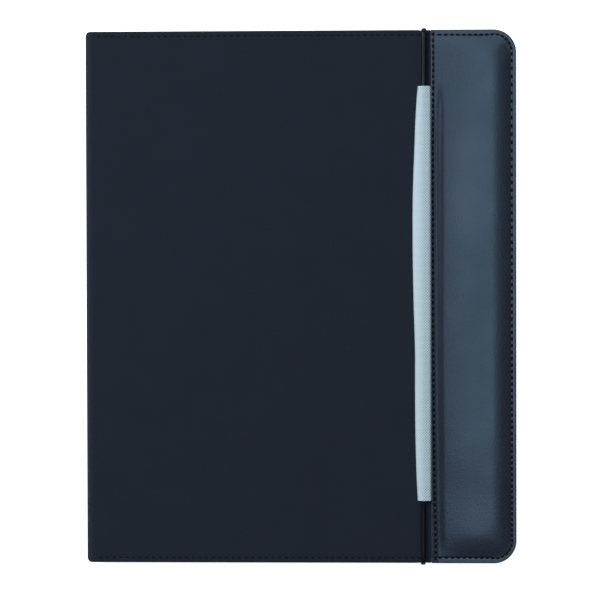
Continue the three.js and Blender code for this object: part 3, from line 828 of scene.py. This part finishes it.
@made_once
def fibrous_finish(name, colour, roughness=0.95, scale=700):
    """Board or foam: flecks of two sizes in a dull colour."""
    wires, shader = new_finish(name, roughness, 0.1)
    place = object_place(wires)
    flecks = wires.noise(place, scale, 5, Roughness=0.7)
    tone = wires.mix(wires.range(flecks, 0.35, 0.65), shade(colour, 0.72), shade(colour, 1.15))
    tone = wires.tint(tone, wires.noise(place, 60, 2), 0.3, shade(colour, 0.85))
    rough = wires.range(flecks, 0.3, 0.7, roughness - 0.08, min(1, roughness + 0.04))
    dress(wires, shader, tone, rough, flecks, 0.06 * MM, 0.5)


def grey_board():
    return fibrous_finish("grey_board", linear(141, 136, 124))


def white_foam():
    return fibrous_finish("white_foam", linear(216, 216, 210), 1.0, 1500)


def cover_finish():
    return woven_finish("cover_cloth", tuple(colours().cloth), sizes().weave)


def lining_finish():
    return woven_finish("lining_cloth", tuple(colours().lining), 0.45 * MM, 0.15, roughness=0.78, depth=0.05)


def pocket_finish():
    return woven_finish("pocket_cloth", tuple(colours().pocket), 0.5 * MM, 0.2, roughness=0.82, depth=0.06)


def dark_thread():
    return thread_finish("dark_thread", tuple(colours().thread))


# Sewn sheets of the inside

def sheet_patch(left, right, foot, head, height, across=3 * MM, along=3 * MM):
    """A sheet between x = left and right and between two lines, foot(x) and head(x), at height(x, y)."""
    fine, reach, usual_height = 0.8 * MM, 8 * MM, 0.2
    x = dense_ends(left, right, fine, across, reach)[:, None]
    share = dense_ends(0, 1, fine / usual_height, along / usual_height, reach / usual_height)
    y = foot(x) + (head(x) - foot(x)) * share
    x = x + 0 * y
    return patch(points_of(x, y, height(x, y)))


def make_sheet(name, patches, material, facing, thickness, body, nodes, flat):
    """A sheet of one thickness on one body: its mesh, its wall and its place in the frame."""
    thing = give_thickness(mesh_object(name, patches, material, facing), thickness)
    belong(thing, body, nodes)
    declare_sheet(thing, flat)


def pocket_sheet(name, patches, facing, thickness, body, node, flat):
    make_sheet(name, patches, pocket_finish(), facing, thickness, body, (node,), flat)


def inner_foot(inset):
    """The foot line of a piece sewn in along the fore-edge and the foot, with the rounded corner."""
    radius = sizes().fore_corner - inset

    def foot(x):
        turned = np.clip((x - RIGHT + inset + radius) / radius, 0, 1)
        return -HALF + inset + radius * (1 - np.sqrt(1 - turned ** 2))
    return foot


def make_lining(name, body, node, z, facing):
    """A cover's lining: a flat sheet inside the turned edges, very slightly proud between its stitched sides."""
    low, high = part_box(node)
    foot = inner_foot(LINING_INSET)

    def height(x, y):
        edge = np.minimum(panel_distance(x, y) - LINING_INSET, x - low.x)
        return z + facing[2] * 0.12 * MM * smooth_step(edge / (6 * MM)) * (1 + 0.5 * np.sin(31 * x) * np.sin(23 * y))

    sheet = sheet_patch(low.x, high.x, foot, lambda x: -foot(x), height)
    make_sheet(name, [sheet], lining_finish(), facing, 0.45 * MM, body, (node,),
               (high.x - low.x, high.y - low.y))


def gutter_strip(name, rise, away):
    """The lining's soft strip from a cover to the spine: level, a quarter round into the gutter, and up the spine."""
    radius, overlap, lift = GUTTER_RADIUS, 1.2 * MM, 0.1 * MM
    centre_x = SPINE_INSIDE + radius
    turn = np.linspace(0, QUARTER, 12)
    x = np.concatenate([[LEFT + sizes().shoulder + overlap], centre_x - radius * np.sin(turn), [SPINE_INSIDE]])
    z = rise + away * np.concatenate([[0], radius * (1 - np.cos(turn)), [radius + overlap]])
    normal_x = np.concatenate([[0], np.sin(turn), [1]])
    normal_z = away * np.concatenate([[1], np.cos(turn), [0]])
    y = spread(-HALF + LINING_INSET, HALF - LINING_INSET, 8 * MM)
    grid = points_of((x + lift * normal_x)[:, None], y, (z + lift * normal_z)[:, None])
    thing = give_thickness(mesh_object(name, [patch(grid)], lining_finish(), FROM_SPINE), 0.25 * MM)
    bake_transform(thing)
    declare_sheet(thing, (distances(np.stack([x, z], -1))[-1], 2 * (HALF - LINING_INSET)))


class FOLDER_OT_outer_cloth(bpy.types.Operator):
    """Makes the woven cloth of both covers and the spine, with soft strips over the two shoulders"""
    bl_idname = "folder.outer_cloth"
    bl_label = "Outer Cloth"

    def execute(self, context):
        flat, end = spine_rest()
        margin = 1.0 * MM
        under_panel = 6 * MM
        rows = dense_ends(-1, 1, 0.45 * MM / HALF, 4 * MM / HALF, 7 * MM / HALF)
        front_run = spread(end + margin, end + SEAM + under_panel - LEFT - sizes().shoulder, 0.8 * MM)
        self.finish("front_cover_cloth", cloth_wrap(front_run, rows), UP, "front_cover", "front_cloth",
                    (SEAM - LEFT + under_panel, 2 * HALF + 9 * MM), "front_foam")
        spine_run = spread(-flat + margin, flat - margin, 0.6 * MM)
        self.finish("spine_outer_cloth", cloth_wrap(spine_run, rows), TO_SPINE, "spine", "spine_cloth",
                    (2 * flat - 2 * margin, 2 * HALF + 6 * MM), "spine_board")
        self.back_cover(rows, -end - margin)
        self.shoulder("front_shoulder_cloth", flat - margin, end + margin, rows, ("spine", "front_cover"))
        self.shoulder("back_shoulder_cloth", -end - margin, -flat + margin, rows, ("back_cover", "spine"))
        return {"FINISHED"}

    def finish(self, name, patches, facing, body, node, flat, rests_on):
        make_sheet(name, patches, cover_finish(), facing, sizes().cloth, body, (node,), flat)

    def shoulder(self, name, low, high, rows, bodies):
        margin = 1.0 * MM
        run = np.concatenate([[low], spread(low + margin, high - margin, 0.35 * MM), [high]])
        thing = mesh_object(name, cloth_wrap(run, rows), cover_finish(), TO_SPINE)
        give_thickness(thing, sizes().cloth)
        x, z, _, _ = wrap(np.array([run[1], run[-2]]))
        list(bodies)
        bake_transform(thing)
        declare_sheet(thing, (run[-1] - run[0], 2 * HALF + 6 * MM))

    def back_cover(self, rows, start_run):
        """The back cover: a level field under the boards, and a rim round foot, fore-edge and head."""
        edge, step = sizes().edge, 2 * MM
        start = float(wrap(np.array([start_run]))[0][0])
        x, y = cover_field(spread(start, RIGHT - sizes().fore_corner, step), rows, edge)
        x = x[:, None]
        dip = 0.3 * MM * bell(panel_distance(x, y) - CLOTH_STITCH_INSET, 0.6 * MM)
        patches = [patch(points_of(x, y, dip)), flat_rim(start, edge, BACK_INSIDE, step, lambda x, y: 0 * x)]
        self.finish("back_cover_cloth", patches, DOWN, "back_cover", "back_cloth",
                    (RIGHT - LEFT + 5 * MM, 2 * HALF + 9 * MM), "back_board")


class FOLDER_OT_padded_panel(bpy.types.Operator):
    """Makes the padded leatherette along the fore-edge, with its pinched margin, turned edges and lapped seam"""
    bl_idname = "folder.padded_panel"
    bl_label = "Padded Panel"

    def execute(self, context):
        bend_radius, edge = 0.35 * MM, 0.65 * MM
        start = SEAM + bend_radius
        straight = dense_ends(start, RIGHT - sizes().fore_corner, 0.35 * MM, 1.0 * MM, 6 * MM)
        rows = dense_ends(-1, 1, 0.4 * MM / HALF, 0.8 * MM / HALF, 8 * MM / HALF)
        x, y = cover_field(straight, rows, edge)
        across = x[:, None] + 0 * y
        field = points_of(across, y, panel_height(across, y))
        depth = PANEL_TOP - sizes().padding - FRONT_INSIDE
        wall = flat_rim(start, edge, -depth, 0.9 * MM, panel_height)
        bend = np.linspace(0, QUARTER, 6)
        fold_y = rows * (HALF - edge)
        fold_top = panel_height(np.full_like(fold_y, start), fold_y)
        fold = points_of(start - bend_radius * np.sin(bend), fold_y[:, None],
                         fold_top[:, None] - bend_radius * (1 - np.cos(bend)))
        foot = np.stack([points_of(SEAM, fold_y, fold[:, -1, 2]), points_of(SEAM, fold_y, CLOTH_TOP + 0.02 * MM)], 1)
        thing = mesh_object("padded_leatherette", [patch(field), wall, patch(fold), patch(foot)],
                            leatherette_finish("panel_leatherette"), UP)
        give_thickness(thing, 0.3 * MM)
        belong(thing, "front_cover", ("leatherette_panel",))
        self.foam(x)
        return {"FINISHED"}

    def foam(self, x):
        """The foam under the leatherette: its top follows the field, half a millimetre lower, and its base is level."""
        low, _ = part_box("panel_foam")
        x = x[x > low.x]
        x = np.interp(np.linspace(0, 1, 30), np.linspace(0, 1, len(x)), x)
        y = np.linspace(-1, 1, 160)[None] * (half_height(x) - 1.4 * MM)[:, None]
        across = x[:, None] - 1.2 * MM + 0 * y
        over, under = points_of(across, y, panel_height(across, y) - 0.5 * MM), points_of(across, y, low.z)
        thing = mesh_object("panel_foam_pad", [patch(over), patch(under), *closing_sides(over, under)], white_foam())
        belong(thing, "front_cover", ("panel_foam",))


class FOLDER_OT_stitching(bpy.types.Operator):
    """Makes the rows of thread on the panel, the seam, the covers and the linings"""
    bl_idname = "folder.stitching"
    bl_label = "Stitching"

    def execute(self, context):
        self.panel_rows()
        self.cloth_rows()
        return {"FINISHED"}

    def panel_rows(self):
        inset = sizes().stitch_inset
        path, outward = fore_path(SEAM + 3.4 * MM, inset, 1 * MM)
        path = path - outward * (edge_stitch(*path.T) - inset)[:, None]
        x, y = path.T
        along_fore = np.interp(y, np.array([-150, -130, -60, 0, 60, 90, 135, 150]) * MM,
                               np.array([2.9, 3.3, 3.7, 4.1, 4.5, 4.9, 4.9, 3.0]) * MM)
        along_ends = np.interp(x, np.array([80, 90, 112, 118]) * MM, np.array([3.9, 3.6, 3.3, 3.0]) * MM)
        pitch = np.where(x > RIGHT - 5 * MM, along_fore, along_ends)
        sew("panel_margin_thread", points_of(x, y, panel_height(x, y) + 0.02 * MM), UP, pitch,
            (2.5 * MM, 1.1 * MM), "front_cover")
        y = spread(-HALF + 1.2 * MM, HALF - 1.2 * MM, 1 * MM)
        x = SEAM + seam_stitch(y)
        sew("panel_seam_thread", points_of(x, y, panel_height(x, y) + 0.02 * MM), UP, sizes().seam_pitch,
            (2.7 * MM, 1.0 * MM), "front_cover")

    def cloth_rows(self):
        size, left = (1.9 * MM, 0.7 * MM), LEFT + 6.5 * MM
        for name, side in (("head", 1), ("foot", -1)):
            y, z = side * (HALF - CLOTH_STITCH_INSET), CLOTH_TOP - 0.2 * MM
            sew(f"front_{name}_thread", line((left, y, z), (SEAM - 1 * MM, y, z)), UP, CLOTH_STITCH_PITCH, size,
                "front_cover")
        x, y = fore_path(left, CLOTH_STITCH_INSET, 1 * MM)[0].T
        for name, z, facing, row_size, body in (
                ("back_outer_thread", 0.42 * MM, DOWN, (1.9 * MM, 0.5 * MM), "back_cover"),
                ("back_inner_thread", BACK_INSIDE + 0.05 * MM, UP, size, "back_cover"),
                ("front_inner_thread", FRONT_INSIDE - 0.05 * MM, DOWN, size, "front_cover")):
            sew(name, points_of(x, y, z), facing, CLOTH_STITCH_PITCH, row_size, body)


def cord_tube(name, path, radius, high, material):
    """A cord along a path close to a plane of constant x: an oval carried on the path's own directions."""
    tangent = np.gradient(path, axis=0)
    tangent /= np.linalg.norm(tangent, axis=1)[:, None]
    aside = level(path, (1, 0, 0))
    above = np.cross(tangent, aside)
    turn = np.linspace(0, 2 * math.pi, 21)
    upwards = np.broadcast_to(high, len(path))[:, None] * np.sin(turn)
    grid = path[:, None] + radius * aside[:, None] * np.cos(turn)[:, None] + upwards[..., None] * above[:, None]
    flat = points_of(radius * turn, distances(path)[:, None])
    caps = [patch(np.stack([grid[end], np.broadcast_to(path[end], grid[end].shape)]), np.stack([flat[end]] * 2))
            for end in (0, -1)]
    return mesh_object(name, [patch(grid, flat), *caps], material)


def quarter_bend(x, y, z, radius, count, over):
    """A quarter round in a plane of constant x, from level to down over an edge, or from down to level at its foot."""
    turn = np.linspace(0, QUARTER, count)
    out, down = radius * np.sin(turn), radius * np.cos(turn)
    return points_of(x, y + out, z + down) if over else points_of(x, y + down, z - out)


class FOLDER_OT_elastic_cord(bpy.types.Operator):
    """Makes the braided elastic over the front, its bends over head and foot, and its two stretching ends"""
    bl_idname = "folder.elastic_cord"
    bl_label = "Elastic Cord"

    def execute(self, context):
        radius, high, pressed = (sizes().cord * share for share in (0.62, 0.47, 0.3))
        outer, bend, low = HALF - 0.35 * MM + pressed, 2.4 * MM, CORD_LOW.z
        in_sleeve, on_cloth = CORD_HIGH.z - high, CLOTH_TOP + high + 0.05 * MM
        material = braid_finish("braided_elastic", tuple(colours().elastic), 0.95 * MM)
        y = spread(-outer + bend, outer - bend, 2 * MM)
        inside = smooth_step((SLEEVE_HIGH.y + 5 * MM - y) / (9 * MM)) \
            * smooth_step((y - SLEEVE_LOW.y + 5 * MM) / (9 * MM))
        run = points_of(CORD_X, y, on_cloth + (in_sleeve - on_cloth) * inside)
        arc = quarter_bend(CORD_X, outer - bend, on_cloth - bend, bend, 12, True)
        leg = line((CORD_X, outer, on_cloth - bend), (CORD_X, outer, low), 0.8 * MM)
        end = np.concatenate([arc[1:], leg[1:]])
        path = np.concatenate([end[::-1] * [1, -1, 1], run, end])
        path[:, 0] += self.drift(path[:, 1], outer)
        height = np.interp(np.abs(path[:, 1]), [outer - 3 * bend, outer - 0.5 * bend], [high, pressed])
        cord = cord_tube("closure_elastic", path, radius, height, material)
        belong(cord, "closure", ("elastic_cord",))
        for name, side in (("head", 1), ("foot", -1)):
            x = CORD_X + self.drift(side * outer, outer)
            self.leg(f"elastic_end_{name}", f"cord_leg_{name}", side, x, outer, low, (radius, pressed), material)
        return {"FINISHED"}

    def drift(self, y, outer):
        """The elastic lies slightly askew: further from the spine at the head."""
        return np.interp(y, [-outer, outer], [-0.3 * MM, 0.6 * MM])

    def leg(self, name, node, side, x, outer, top, section, material):
        """An end of the elastic: down the edge, a quarter bend, and level into the back cover's edge."""
        bend, step = 1.6 * MM, 0.6 * MM
        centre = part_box(node)[0].z + section[1] + 0.05 * MM
        down = line((x, outer, top - 0.0002 * MM), (x, outer, centre + bend), step)
        arc = quarter_bend(x, outer - bend, centre + bend, bend, 10, False)
        tail = line((x, outer - bend, centre), (x, HALF - 3 * MM, centre), step)
        path = np.concatenate([down, arc[1:], tail[1:]]) * [1, side, 1]
        thing = cord_tube(name, path, *section, material)
        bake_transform(thing)
        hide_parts(node)


class FOLDER_OT_closure_sleeve(bpy.types.Operator):
    """Makes the twill sleeve, folded at the left, draped over the cord, and hemmed at both ends"""
    bl_idname = "folder.closure_sleeve"
    bl_label = "Closure Sleeve"

    def execute(self, context):
        right = SLEEVE_HIGH.x + 0.7 * MM
        low, high = SLEEVE_LOW.y + 1.0 * MM, SLEEVE_HIGH.y - 1.2 * MM
        base, top = SLEEVE_LOW.z, SLEEVE_HIGH.z
        y = dense_ends(low, high, 0.35 * MM, 0.6 * MM, 5 * MM)[:, None]
        left = right - self.width((high - y[:, 0]) / (high - low))[:, None]
        top_side, low_side = 36, 18
        share = np.concatenate([np.linspace(0, 1, top_side), np.linspace(1, 0, low_side)])[None]
        above = (np.arange(top_side + low_side) < top_side)[None]
        x = left + (right - left) * (0.5 - 0.5 * np.cos(math.pi * share))
        before, after = (np.clip((x - CORD_X) / (side - CORD_X), 0, 1) for side in (left, right))
        crown = (top - base) * np.where(x < CORD_X, 1 - 0.5 * before ** 1.7, 1 - 0.13 * after ** 2)
        ends = np.clip(1 - np.abs(2 * (x - left) / (right - left) - 1) ** 12, 0, 1) ** 0.5
        pucker = 0.05 * MM * np.sin(2 * math.pi * y / (5.3 * MM) + 3 * np.sin(40 * y))
        to_end = np.minimum(y - low, high - y)
        hem = 0.16 * MM * smooth_step((1.8 * MM - to_end) / (0.4 * MM)) - 0.12 * MM
        lower = base + 0.25 * MM + 0.7 * MM * smooth_step((x - right + 3 * MM) / (2 * MM))
        z = np.where(above, lower + (base + crown + pucker + hem - lower) * ends, lower)
        teeth = 0.12 * MM * np.abs(np.sin(math.pi * y / (1.7 * MM)))
        x = x - teeth * smooth_step((x - right + MM) / MM) + 0.5 * teeth * smooth_step((left + MM - x) / MM)
        y = y + 0 * x
        at_low, at_high = smooth_step((low + MM - y) / MM), smooth_step((y - high + MM) / MM)
        y = y + np.where(above, 0, 0.7 * MM) * (at_low - at_high)
        steps = np.hypot(np.diff(x, axis=1), np.diff(z, axis=1))
        run = np.concatenate([np.zeros((len(y), 1)), np.cumsum(steps, 1)], 1)
        make_sheet("twill_sleeve", [patch(points_of(x, y, z), points_of(run, y))], twill_finish("sleeve_twill"), None,
                   0.3 * MM, "closure", ("closure_sleeve",), (run[:, -1].mean(), high - low))
        return {"FINISHED"}

    def width(self, share):
        """The sleeve's width at a share of its length from the head, read at 14 places and evened out over 25 rows."""
        places = [0, 0.036, 0.084, 0.157, 0.23, 0.3, 0.4, 0.52, 0.64, 0.76, 0.83, 0.9, 0.95, 1]
        widths = [7.8, 8.7, 9.4, 10, 10.75, 11.1, 11.1, 10.6, 9.7, 9.8, 9.65, 9.3, 8.9, 8.2]
        padded = np.pad(np.interp(share, places, widths), 12, mode="edge")
        return np.convolve(padded, np.ones(25) / 25, "valid") * MM


class FOLDER_OT_linings(bpy.types.Operator):
    """Makes the linings of both covers and the spine, with soft strips in the gutter"""
    bl_idname = "folder.linings"
    bl_label = "Linings"

    def execute(self, context):
        make_lining("front_inside_lining", "front_cover", "front_lining", FRONT_INSIDE, DOWN)
        make_lining("back_inside_lining", "back_cover", "back_lining", BACK_INSIDE, UP)
        low, high = BACK_INSIDE + GUTTER_RADIUS, FRONT_INSIDE - GUTTER_RADIUS
        z, y = spread(low, high, 1 * MM)[:, None], spread(-HALF + LINING_INSET, HALF - LINING_INSET, 8 * MM)
        grid = points_of(SPINE_INSIDE, y, z)
        make_sheet("spine_inside_lining", [patch(grid, grid[..., 1:])], lining_finish(), FROM_SPINE, 0.4 * MM,
                   "spine", ("spine_lining",), (high - low, 2 * (HALF - LINING_INSET)))
        self.board()
        gutter_strip("front_gutter_lining", FRONT_INSIDE, -1)
        gutter_strip("back_gutter_lining", BACK_INSIDE, 1)
        return {"FINISHED"}

    def board(self):
        """The board in the spine: a long strip with softened edges that ends inside the turned cloth."""
        low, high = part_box("spine_strip")
        middle, half = (high + low) / 2, (high - low) / 2
        turn = np.linspace(0, 2 * math.pi, 25)
        soft_x, soft_z = (np.sign(wave) * np.abs(wave) ** 0.35 for wave in (np.cos(turn), np.sin(turn)))
        y = np.array([-1, -1, 1, 1])[:, None] * (HALF - 3.2 * MM)
        size = np.array([0, 1, 1, 0])[:, None]
        grid = points_of(middle.x + size * half.x * soft_x, y, middle.z + size * half.z * soft_z)
        thing = mesh_object("spine_board", [patch(grid)], grey_board())
        belong(thing, "spine", ("spine_strip",))


def hemmed(distance, thickness=0.3 * MM, width=7 * MM):
    """Extra height of a turned hem along a mouth: one more layer of cloth as far as its width."""
    return thickness * smooth_step((width - distance) / (0.8 * MM)) * smooth_step(distance / (0.4 * MM) + 0.5)


class FOLDER_OT_front_pockets(bpy.types.Operator):
    """Makes the document pocket with its pleated gusset and the three card pockets on it"""
    bl_idname = "folder.front_pockets"
    bl_label = "Front Pockets"

    def execute(self, context):
        self.document_pocket()
        self.gusset()
        for number in (1, 2, 3):
            self.card_pocket(number)
        return {"FINISHED"}

    def mouth(self, x):
        """The mouth's line: a straight slant that rounds down at the spine side."""
        low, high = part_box("document_pocket")
        start, end, corner = 24 * MM, 62 * MM, 12 * MM
        slant = start + (end - start) * (x - low.x) / (high.x - low.x)
        inside = np.clip((low.x + corner - x) / corner, 0, 1)
        return slant - corner * (1 - np.sqrt(1 - inside ** 2))

    def document_pocket(self):
        low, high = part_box("document_pocket")
        inset = RIGHT - high.x

        def height(x, y):
            to_mouth = self.mouth(x) - y
            edge = np.minimum(panel_distance(x, y) - inset, x - low.x)
            belly = 0.35 * MM * smooth_step(edge / (40 * MM)) * smooth_step(to_mouth / (10 * MM) + 0.4)
            return low.z + 0.25 * MM - hemmed(to_mouth) + belly

        sheet = sheet_patch(low.x, high.x, inner_foot(inset), self.mouth, height)
        pocket_sheet("document_pocket_cloth", [sheet], DOWN, 0.4 * MM, "front_cover", "document_pocket",
                     (high.x - low.x, high.y - low.y))
        x = spread(low.x + 9 * MM, high.x - 1 * MM, 1 * MM)
        for number, back in ((1, 2.0 * MM), (2, 6.2 * MM)):
            sew(f"pocket_mouth_thread_{number}", points_of(x, self.mouth(x) - back, low.z - 0.05 * MM), DOWN,
                3.4 * MM, (2.1 * MM, 0.5 * MM), "front_cover")

    def gusset(self):
        """A strip pleated in three layers between pocket and lining: down the spine side, along the foot and up."""
        low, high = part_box("pocket_gusset")
        inset = RIGHT - high.x
        outline, outward = fore_path(low.x + 1.5 * MM, inset, 3 * MM)
        keep = outline[:, 1] < 60 * MM
        side = line((low.x, 12 * MM), (low.x, -HALF + inset + 2 * MM), 4 * MM)
        path = np.concatenate([side, outline[keep][1:]])
        out = np.concatenate([level(side, (-1, 0)), outward[keep][1:]])
        across = np.array([0.2, 3.6, 3.9, 3.6, 0.6, 0.3, 0.6, 3.6, 3.9, 4.2]) * MM
        rise = np.linspace(low.z + 0.1 * MM, high.z - 0.1 * MM, len(across))
        x, y = (path[:, None] - out[:, None] * across[:, None]).transpose(2, 0, 1)
        run, wide = distances(path), distances(np.stack([across, rise], -1))
        patches = [patch(points_of(x, y, rise), points_of(run[:, None], wide))]
        pocket_sheet("pocket_gusset_cloth", patches, DOWN, 0.12 * MM, "front_cover", "pocket_gusset",
                     (wide[-1], run[-1]))

    def card_pocket(self, number):
        low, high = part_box(f"card_pocket_{number}")

        def height(x, y):
            edge = np.minimum(np.minimum(x - low.x, high.x - x), y - low.y)
            bow = np.sin(math.pi * np.clip((x - low.x) / (high.x - low.x), 0, 1))
            droop = 0.1 * MM * smooth_step(edge / (14 * MM)) * bow
            return low.z + 0.12 * MM + droop - hemmed(high.y - y, 0.1 * MM, 5 * MM)

        sheet = sheet_patch(low.x, high.x, lambda x: 0 * x + low.y, lambda x: 0 * x + high.y, height, 2.5 * MM, 4 * MM)
        pocket_sheet(f"card_pocket_cloth_{number}", [sheet], DOWN, 0.3 * MM, "front_cover", f"card_pocket_{number}",
                     (high.x - low.x, high.y - low.y))
        hem, side, foot, z = high.y - 3.8 * MM, 1.6 * MM, low.y + 1.6 * MM, low.z - 0.02 * MM
        rows = [line((low.x + 2 * MM, hem, z), (high.x - 2 * MM, hem, z))]
        if number == 3:
            rows += [line((edge, low.y + 1 * MM, z), (edge, high.y - 5 * MM, z))
                     for edge in (low.x + side, high.x - side)]
            rows.append(line((low.x + 3 * MM, foot, z), (high.x - 3 * MM, foot, z)))
        for count, points in enumerate(rows, 1):
            sew(f"card_pocket_{number}_thread_{count}", points, DOWN, 3.2 * MM, (2.0 * MM, 0.4 * MM), "front_cover")


class FOLDER_OT_back_pocket(bpy.types.Operator):
    """Makes the pocket that holds the pad's backing, and the pen loop in the gutter"""
    bl_idname = "folder.back_pocket"
    bl_label = "Back Pocket"

    def execute(self, context):
        low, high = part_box("pad_pocket")
        card_low, card_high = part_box("pad_backing")

        def height(x, y):
            beside = np.maximum(np.maximum(card_low.x - x, x - card_high.x), card_low.y - y)
            over = high.z - 0.1 * MM
            return over - (over - BACK_INSIDE - 0.45 * MM) * smooth_step((beside - 0.9 * MM) / (3.2 * MM))

        sheet = sheet_patch(low.x, high.x, inner_foot(RIGHT - high.x), lambda x: 0 * x + high.y, height,
                            2 * MM, 4 * MM)
        pocket_sheet("pad_pocket_cloth", [sheet], UP, 0.4 * MM, "back_cover", "pad_pocket",
                     (high.x - low.x, high.y - low.y))
        x, z = low.x + 1.4 * MM, BACK_INSIDE + 0.5 * MM
        sew("pad_pocket_thread", line((x, low.y + 2 * MM, z), (x, high.y - 1 * MM, z)), UP, 3.4 * MM,
            (2.1 * MM, 0.5 * MM), "back_cover")
        self.pen_loop()
        return {"FINISHED"}

    def pen_loop(self):
        """A webbing strip: flat tab, then once round the pen on a circle, and flat again under itself."""
        low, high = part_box("pen_loop")
        wall = 0.9 * MM
        radius = (high.z - low.z - wall) / 2
        x, z = low.x + radius + wall / 2, low.z + radius + wall / 2
        turn = np.linspace(-QUARTER, 3 * QUARTER, 61)[1:-1]
        tab = points_of(np.linspace(high.x, x + 0.6 * MM, 9), low.z + wall * 0.72)
        path = np.concatenate([tab, points_of(x + radius * np.cos(turn), z + radius * np.sin(turn))])
        y = spread(low.y, high.y, 1 * MM)
        normal = np.gradient(path, axis=0)[:, ::-1] * [1, -1]
        normal /= np.linalg.norm(normal, axis=1)[:, None]
        rounded = 1 - 0.35 * bell(np.minimum(y - y[0], y[-1] - y), 0.5 * MM)
        flat = points_of(distances(path)[:, None], y)
        under, over = (points_of(path[:, :1] + normal[:, :1] * depth, y, path[:, 1:] + normal[:, 1:] * depth)
                       for depth in (-0.45 * wall * rounded, 0.45 * wall * rounded))
        patches = [patch(under, flat), patch(over, flat), *closing_sides(under, over, flat)]
        webbing = braid_finish("loop_webbing", tuple(colours().elastic), 1.3 * MM)
        thing = mesh_object("pen_loop_webbing", patches, webbing)
        belong(thing, "back_cover", ("pen_loop",))
        x, z = high.x - 1.4 * MM, low.z + wall + 0.1 * MM
        sew("pen_loop_thread", line((x, low.y + 1.5 * MM, z), (x, high.y - 1.5 * MM, z)), UP, 3 * MM,
            (2 * MM, 0.5 * MM), "back_cover")


class FOLDER_OT_writing_pad(bpy.types.Operator):
    """Finishes the pad's pages, backing and binding, and the boards and foam inside the covers"""
    bl_idname = "folder.writing_pad"
    bl_label = "Writing Pad"

    def execute(self, context):
        tape = woven_finish("binding_tape", linear(44, 56, 74), 0.4 * MM, 0.12, object_place, 0.7, 0.04)
        finishes = {"pad_pages": ruled_paper_finish("ruled_paper"), "pad_backing": grey_board(), "pad_binding": tape,
                    "back_board": grey_board(), "front_board": grey_board(), "front_foam": white_foam()}
        for node, material in finishes.items():
            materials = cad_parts[node].data.materials
            materials.clear()
            materials.append(material)
        return {"FINISHED"}


class FOLDER_OT_stage(bpy.types.Operator):
    """Makes the pale floor, the soft lights and the camera over the folder"""
    bl_idname = "folder.stage"
    bl_label = "Stage"

    def execute(self, context):
        self.floor()
        self.light("overhead_softbox", (0.15, 0.42, 1.9), (0.15, 0.42, 0), (0.5, 1.75), 12.5)
        self.light("key_softbox", (-1.1, 0.75, 1.25), (0, 0, 0), (0.7, 0.7), 27)
        world = bpy.data.worlds.new("studio")
        world.use_nodes = True
        background = world.node_tree.nodes["Background"].inputs
        background[0].default_value, background[1].default_value = (1, 1, 1, 1), 0.2
        context.scene.world = world
        context.scene.view_settings.view_transform = "Standard"
        lens = bpy.data.cameras.new("photo_camera")
        camera = bpy.data.objects.new("photo_camera", lens)
        context.scene.collection.objects.link(camera)
        focal_pixels = 2655.1
        lens.sensor_width = SENSOR_WIDTH
        lens.lens = SENSOR_WIDTH * focal_pixels / PHOTO_SIZE
        lens.clip_start, lens.clip_end = 0.05, 20
        camera.location = (0.06277, 0.02925, 1.6)
        camera.rotation_euler = Euler((-0.01964, 0.03973, -0.00242), "XYZ")
        context.scene.camera = camera
        return {"FINISHED"}

    def floor(self):
        """A level square of 6 m, a hair under the folder, that gives off a little light."""
        wires, shader = new_finish("studio_floor", 0.95, 0.0)
        speckle = wires.noise(object_place(wires), 40, 2)
        wires.put(shader.inputs["Base Color"], wires.mix(speckle, (0.9, 0.9, 0.9), (0.93, 0.93, 0.93)))
        wires.put(shader.inputs["Emission Color"], wires.mix(speckle, (0.98, 0.98, 0.98), (1, 1, 1)))
        shader.inputs["Emission Strength"].default_value = 0.8
        side = spread(-3, 3, 0.5)
        grid = points_of(side[:, None], side, -0.05 * MM)
        mesh_object("studio_floor", [patch(grid)], bpy.data.materials["studio_floor"], UP)

    def light(self, name, place, towards, size, power):
        """A rectangular area light at a place, turned towards a point."""
        lamp = bpy.data.lights.new(name, "AREA")
        lamp.shape, lamp.size, lamp.size_y, lamp.energy = "RECTANGLE", *size, power
        thing = bpy.data.objects.new(name, lamp)
        thing.location = place
        x, y, z = (to - at for to, at in zip(towards, place))
        level_way = math.hypot(x, y)
        turn = math.atan2(y, x) - QUARTER if level_way > 1e-6 else 0
        thing.rotation_euler = Euler((math.atan2(level_way, -z), 0, turn), "XYZ")
        bpy.context.scene.collection.objects.link(thing)


OPERATORS = (FOLDER_OT_stage, FOLDER_OT_outer_cloth, FOLDER_OT_padded_panel, FOLDER_OT_elastic_cord,
             FOLDER_OT_closure_sleeve, FOLDER_OT_stitching, FOLDER_OT_linings, FOLDER_OT_front_pockets,
             FOLDER_OT_back_pocket, FOLDER_OT_writing_pad)


class FOLDER_PT_make(bpy.types.Panel):
    """Lists the folder's pieces, sizes and colours"""
    bl_label = "Portfolio Folder"
    bl_idname = "FOLDER_PT_make"
    bl_space_type = "VIEW_3D"
    bl_region_type = "UI"
    bl_category = "Folder"

    def draw(self, context):
        for operator in OPERATORS:
            self.layout.operator(operator.bl_idname)
        for group in (context.scene.folder_sizes, context.scene.folder_colours):
            for name in group.bl_rna.properties.keys():
                if name not in ("rna_type", "name"):
                    self.layout.prop(group, name)


CLASSES = (FolderSizes, FolderColours, *OPERATORS, FOLDER_PT_make)


def register():
    for item in CLASSES:
        bpy.utils.register_class(item)
    bpy.types.Scene.folder_sizes = PointerProperty(type=FolderSizes)
    bpy.types.Scene.folder_colours = PointerProperty(type=FolderColours)


def unregister():
    del bpy.types.Scene.folder_sizes
    del bpy.types.Scene.folder_colours
    for item in reversed(CLASSES):
        bpy.utils.unregister_class(item)


def main():
    """Registers the classes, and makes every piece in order."""
    register()
    for operator in OPERATORS:
        getattr(bpy.ops.folder, operator.bl_idname.split(".")[1])()


if __name__ == "__main__":
    main()
